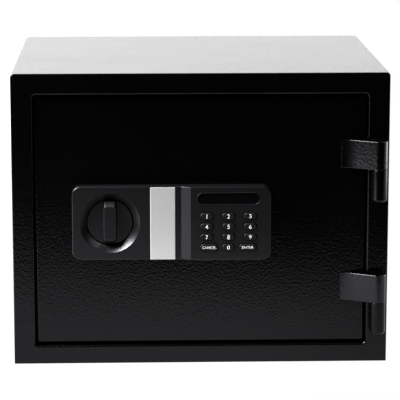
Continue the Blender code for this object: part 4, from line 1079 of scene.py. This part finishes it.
def floor():
    """Sheet that shows in reflections as a lit floor with a dark wedge in front, brighter at its
    left and dimmer at its right. Seen directly, it is white all over."""
    mesh = bpy.data.meshes.new("floor")
    sides = ((-1, -1), (1, -1), (1, 1), (-1, 1))
    corners = [(x * FLOOR_REACH, y * FLOOR_REACH, 0) for x, y in sides]
    mesh.from_pydata(corners, [], [(0, 1, 2, 3)])
    sheet, tree, shader = new_material("floor_white", (0, 0, 0), 0.9)
    split = tree.nodes.new("ShaderNodeSeparateXYZ")
    tree.links.new(object_coordinates(tree), split.inputs["Vector"])
    aside = combine(tree, "ABSOLUTE", combine(tree, "SUBTRACT", split.outputs["X"], FLOOR_WEDGE_X), 0)
    place = combine(tree, "ADD", split.outputs["Y"], combine(tree, "MULTIPLY", aside, FLOOR_WEDGE))
    edge = FRONT_Y - FLOOR_EDGE
    lit = smooth_step(tree, place, edge - FLOOR_FADE, edge + FLOOR_FADE)
    across = split.outputs["X"]
    side = smooth_step(tree, across, *FLOOR_LEFT_START, FLOOR_GLOW_LEFT, FLOOR_GLOW)
    far_left = smooth_step(tree, across, *FLOOR_LEFT_END, FLOOR_FAR_LEFT, 1)
    side = combine(tree, "MULTIPLY", side, far_left)
    path = tree.nodes.new("ShaderNodeLightPath")
    dim = smooth_step(tree, across, *FLOOR_RIGHT, 1, FLOOR_DIM_RIGHT)
    glow = combine(tree, "MULTIPLY", combine(tree, "MULTIPLY", lit, side), dim)
    glow = combine(tree, "MAXIMUM", glow, path.outputs["Is Camera Ray"])
    shader.inputs["Emission Color"].default_value = (1, 1, 1, 1)
    tree.links.new(glow, shader.inputs["Emission Strength"])
    shader.inputs["Specular IOR Level"].default_value = 0
    obj = add_object("floor", mesh, sheet)


def area_light(name, place, aim, size, power):
    lamp = bpy.data.lights.new(name, "AREA")
    lamp.shape = "RECTANGLE"
    lamp.size, lamp.size_y = size
    lamp.energy = power
    obj = bpy.data.objects.new(name, lamp)
    obj.location = place
    obj.rotation_euler = (Vector(aim) - Vector(place)).to_track_quat("-Z", "Y").to_euler()
    bpy.context.scene.collection.objects.link(obj)


def combine(tree, operation, first, second):
    """A Math node on two values, each a socket or a number."""
    node = tree.nodes.new("ShaderNodeMath")
    node.operation = operation
    for value, socket in zip((first, second), node.inputs):
        if isinstance(value, (int, float)):
            socket.default_value = value
        else:
            tree.links.new(value, socket)
    return node.outputs["Value"]


def smooth_step(tree, value, start, end, low=0.0, high=1.0):
    """low before start, high after end, and a smooth rise between."""
    node = tree.nodes.new("ShaderNodeMapRange")
    node.interpolation_type = "SMOOTHSTEP"
    node.inputs["From Min"].default_value = start
    node.inputs["From Max"].default_value = end
    node.inputs["To Min"].default_value = low
    node.inputs["To Max"].default_value = high
    tree.links.new(value, node.inputs["Value"])
    return node.outputs["Result"]


def world():
    """In reflections, a pale backdrop behind and beside the safe, brighter higher up, and a dark
    room in front. Seen directly, it is white all round."""
    made = bpy.data.worlds.new("studio")
    bpy.context.scene.world = made
    made.use_nodes = True
    tree = made.node_tree
    output = tree.nodes["World Output"]
    seen = tree.nodes["Background"]
    seen.inputs["Color"].default_value = (1, 1, 1, 1)
    seen.inputs["Strength"].default_value = 1.0
    lit = tree.nodes.new("ShaderNodeBackground")
    direction = tree.nodes.new("ShaderNodeTexCoord")
    split = tree.nodes.new("ShaderNodeSeparateXYZ")
    tree.links.new(direction.outputs["Generated"], split.inputs["Vector"])
    behind = smooth_step(tree, split.outputs["Y"], *BACKDROP_BEHIND)
    above = smooth_step(tree, split.outputs["Z"], *HORIZON)
    height = smooth_step(tree, split.outputs["Z"], *BACKDROP_RISE, BACKDROP, BACKDROP_TOP)
    aside = smooth_step(tree, split.outputs["X"], *BACKDROP_ACROSS, *BACKDROP_SHARES)
    backdrop = combine(tree, "MULTIPLY", combine(tree, "MULTIPLY", behind, above), height)
    backdrop = combine(tree, "MULTIPLY", backdrop, aside)
    overhead = smooth_step(tree, split.outputs["Z"], *OVERHEAD_RISE, FRONT_DARK, OVERHEAD)
    strength = combine(tree, "ADD", backdrop, overhead)
    tree.links.new(strength, lit.inputs["Strength"])
    path = tree.nodes.new("ShaderNodeLightPath")
    mix = tree.nodes.new("ShaderNodeMixShader")
    tree.links.new(path.outputs["Is Camera Ray"], mix.inputs["Fac"])
    tree.links.new(lit.outputs["Background"], mix.inputs[1])
    tree.links.new(seen.outputs["Background"], mix.inputs[2])
    tree.links.new(mix.outputs["Shader"], output.inputs["Surface"])


def camera():
    lens = bpy.data.cameras.new("camera")
    lens.lens = CAMERA_LENS
    lens.sensor_width = SENSOR_WIDTH
    obj = bpy.data.objects.new("camera", lens)
    obj.location = CAMERA_PLACE
    obj.rotation_euler = (math.radians(90 - CAMERA_PITCH), 0, -math.radians(CAMERA_YAW))
    bpy.context.scene.collection.objects.link(obj)
    bpy.context.scene.camera = obj


def studio():
    floor()
    world()
    aim = (0, FRONT_Y, TOP_Z / 2)
    area_light("key_softbox", KEY_PLACE, aim, KEY_SIZE, KEY_POWER)
    area_light("side_softbox", SIDE_PLACE, aim, SIDE_SIZE, SIDE_POWER)
    camera()
    bpy.context.scene.view_settings.view_transform = "Standard"


# ---------------------------------------------------------------- assembly


def build():
    carry_over()
    casing()
    back_panel()
    door_panel()
    for place in ("upper", "lower"):
        build_hinge(place)
        bolt(f"live_bolt_{place}", "bolt_work", "bolt_steel")
        bolt(f"dead_bolt_{place}", "door", "zinc_steel")
    lock_housing()
    knob()
    bright_strip()
    display()
    plunger_spring()
    for node in KEYS:
        key(node)


build()
studio()
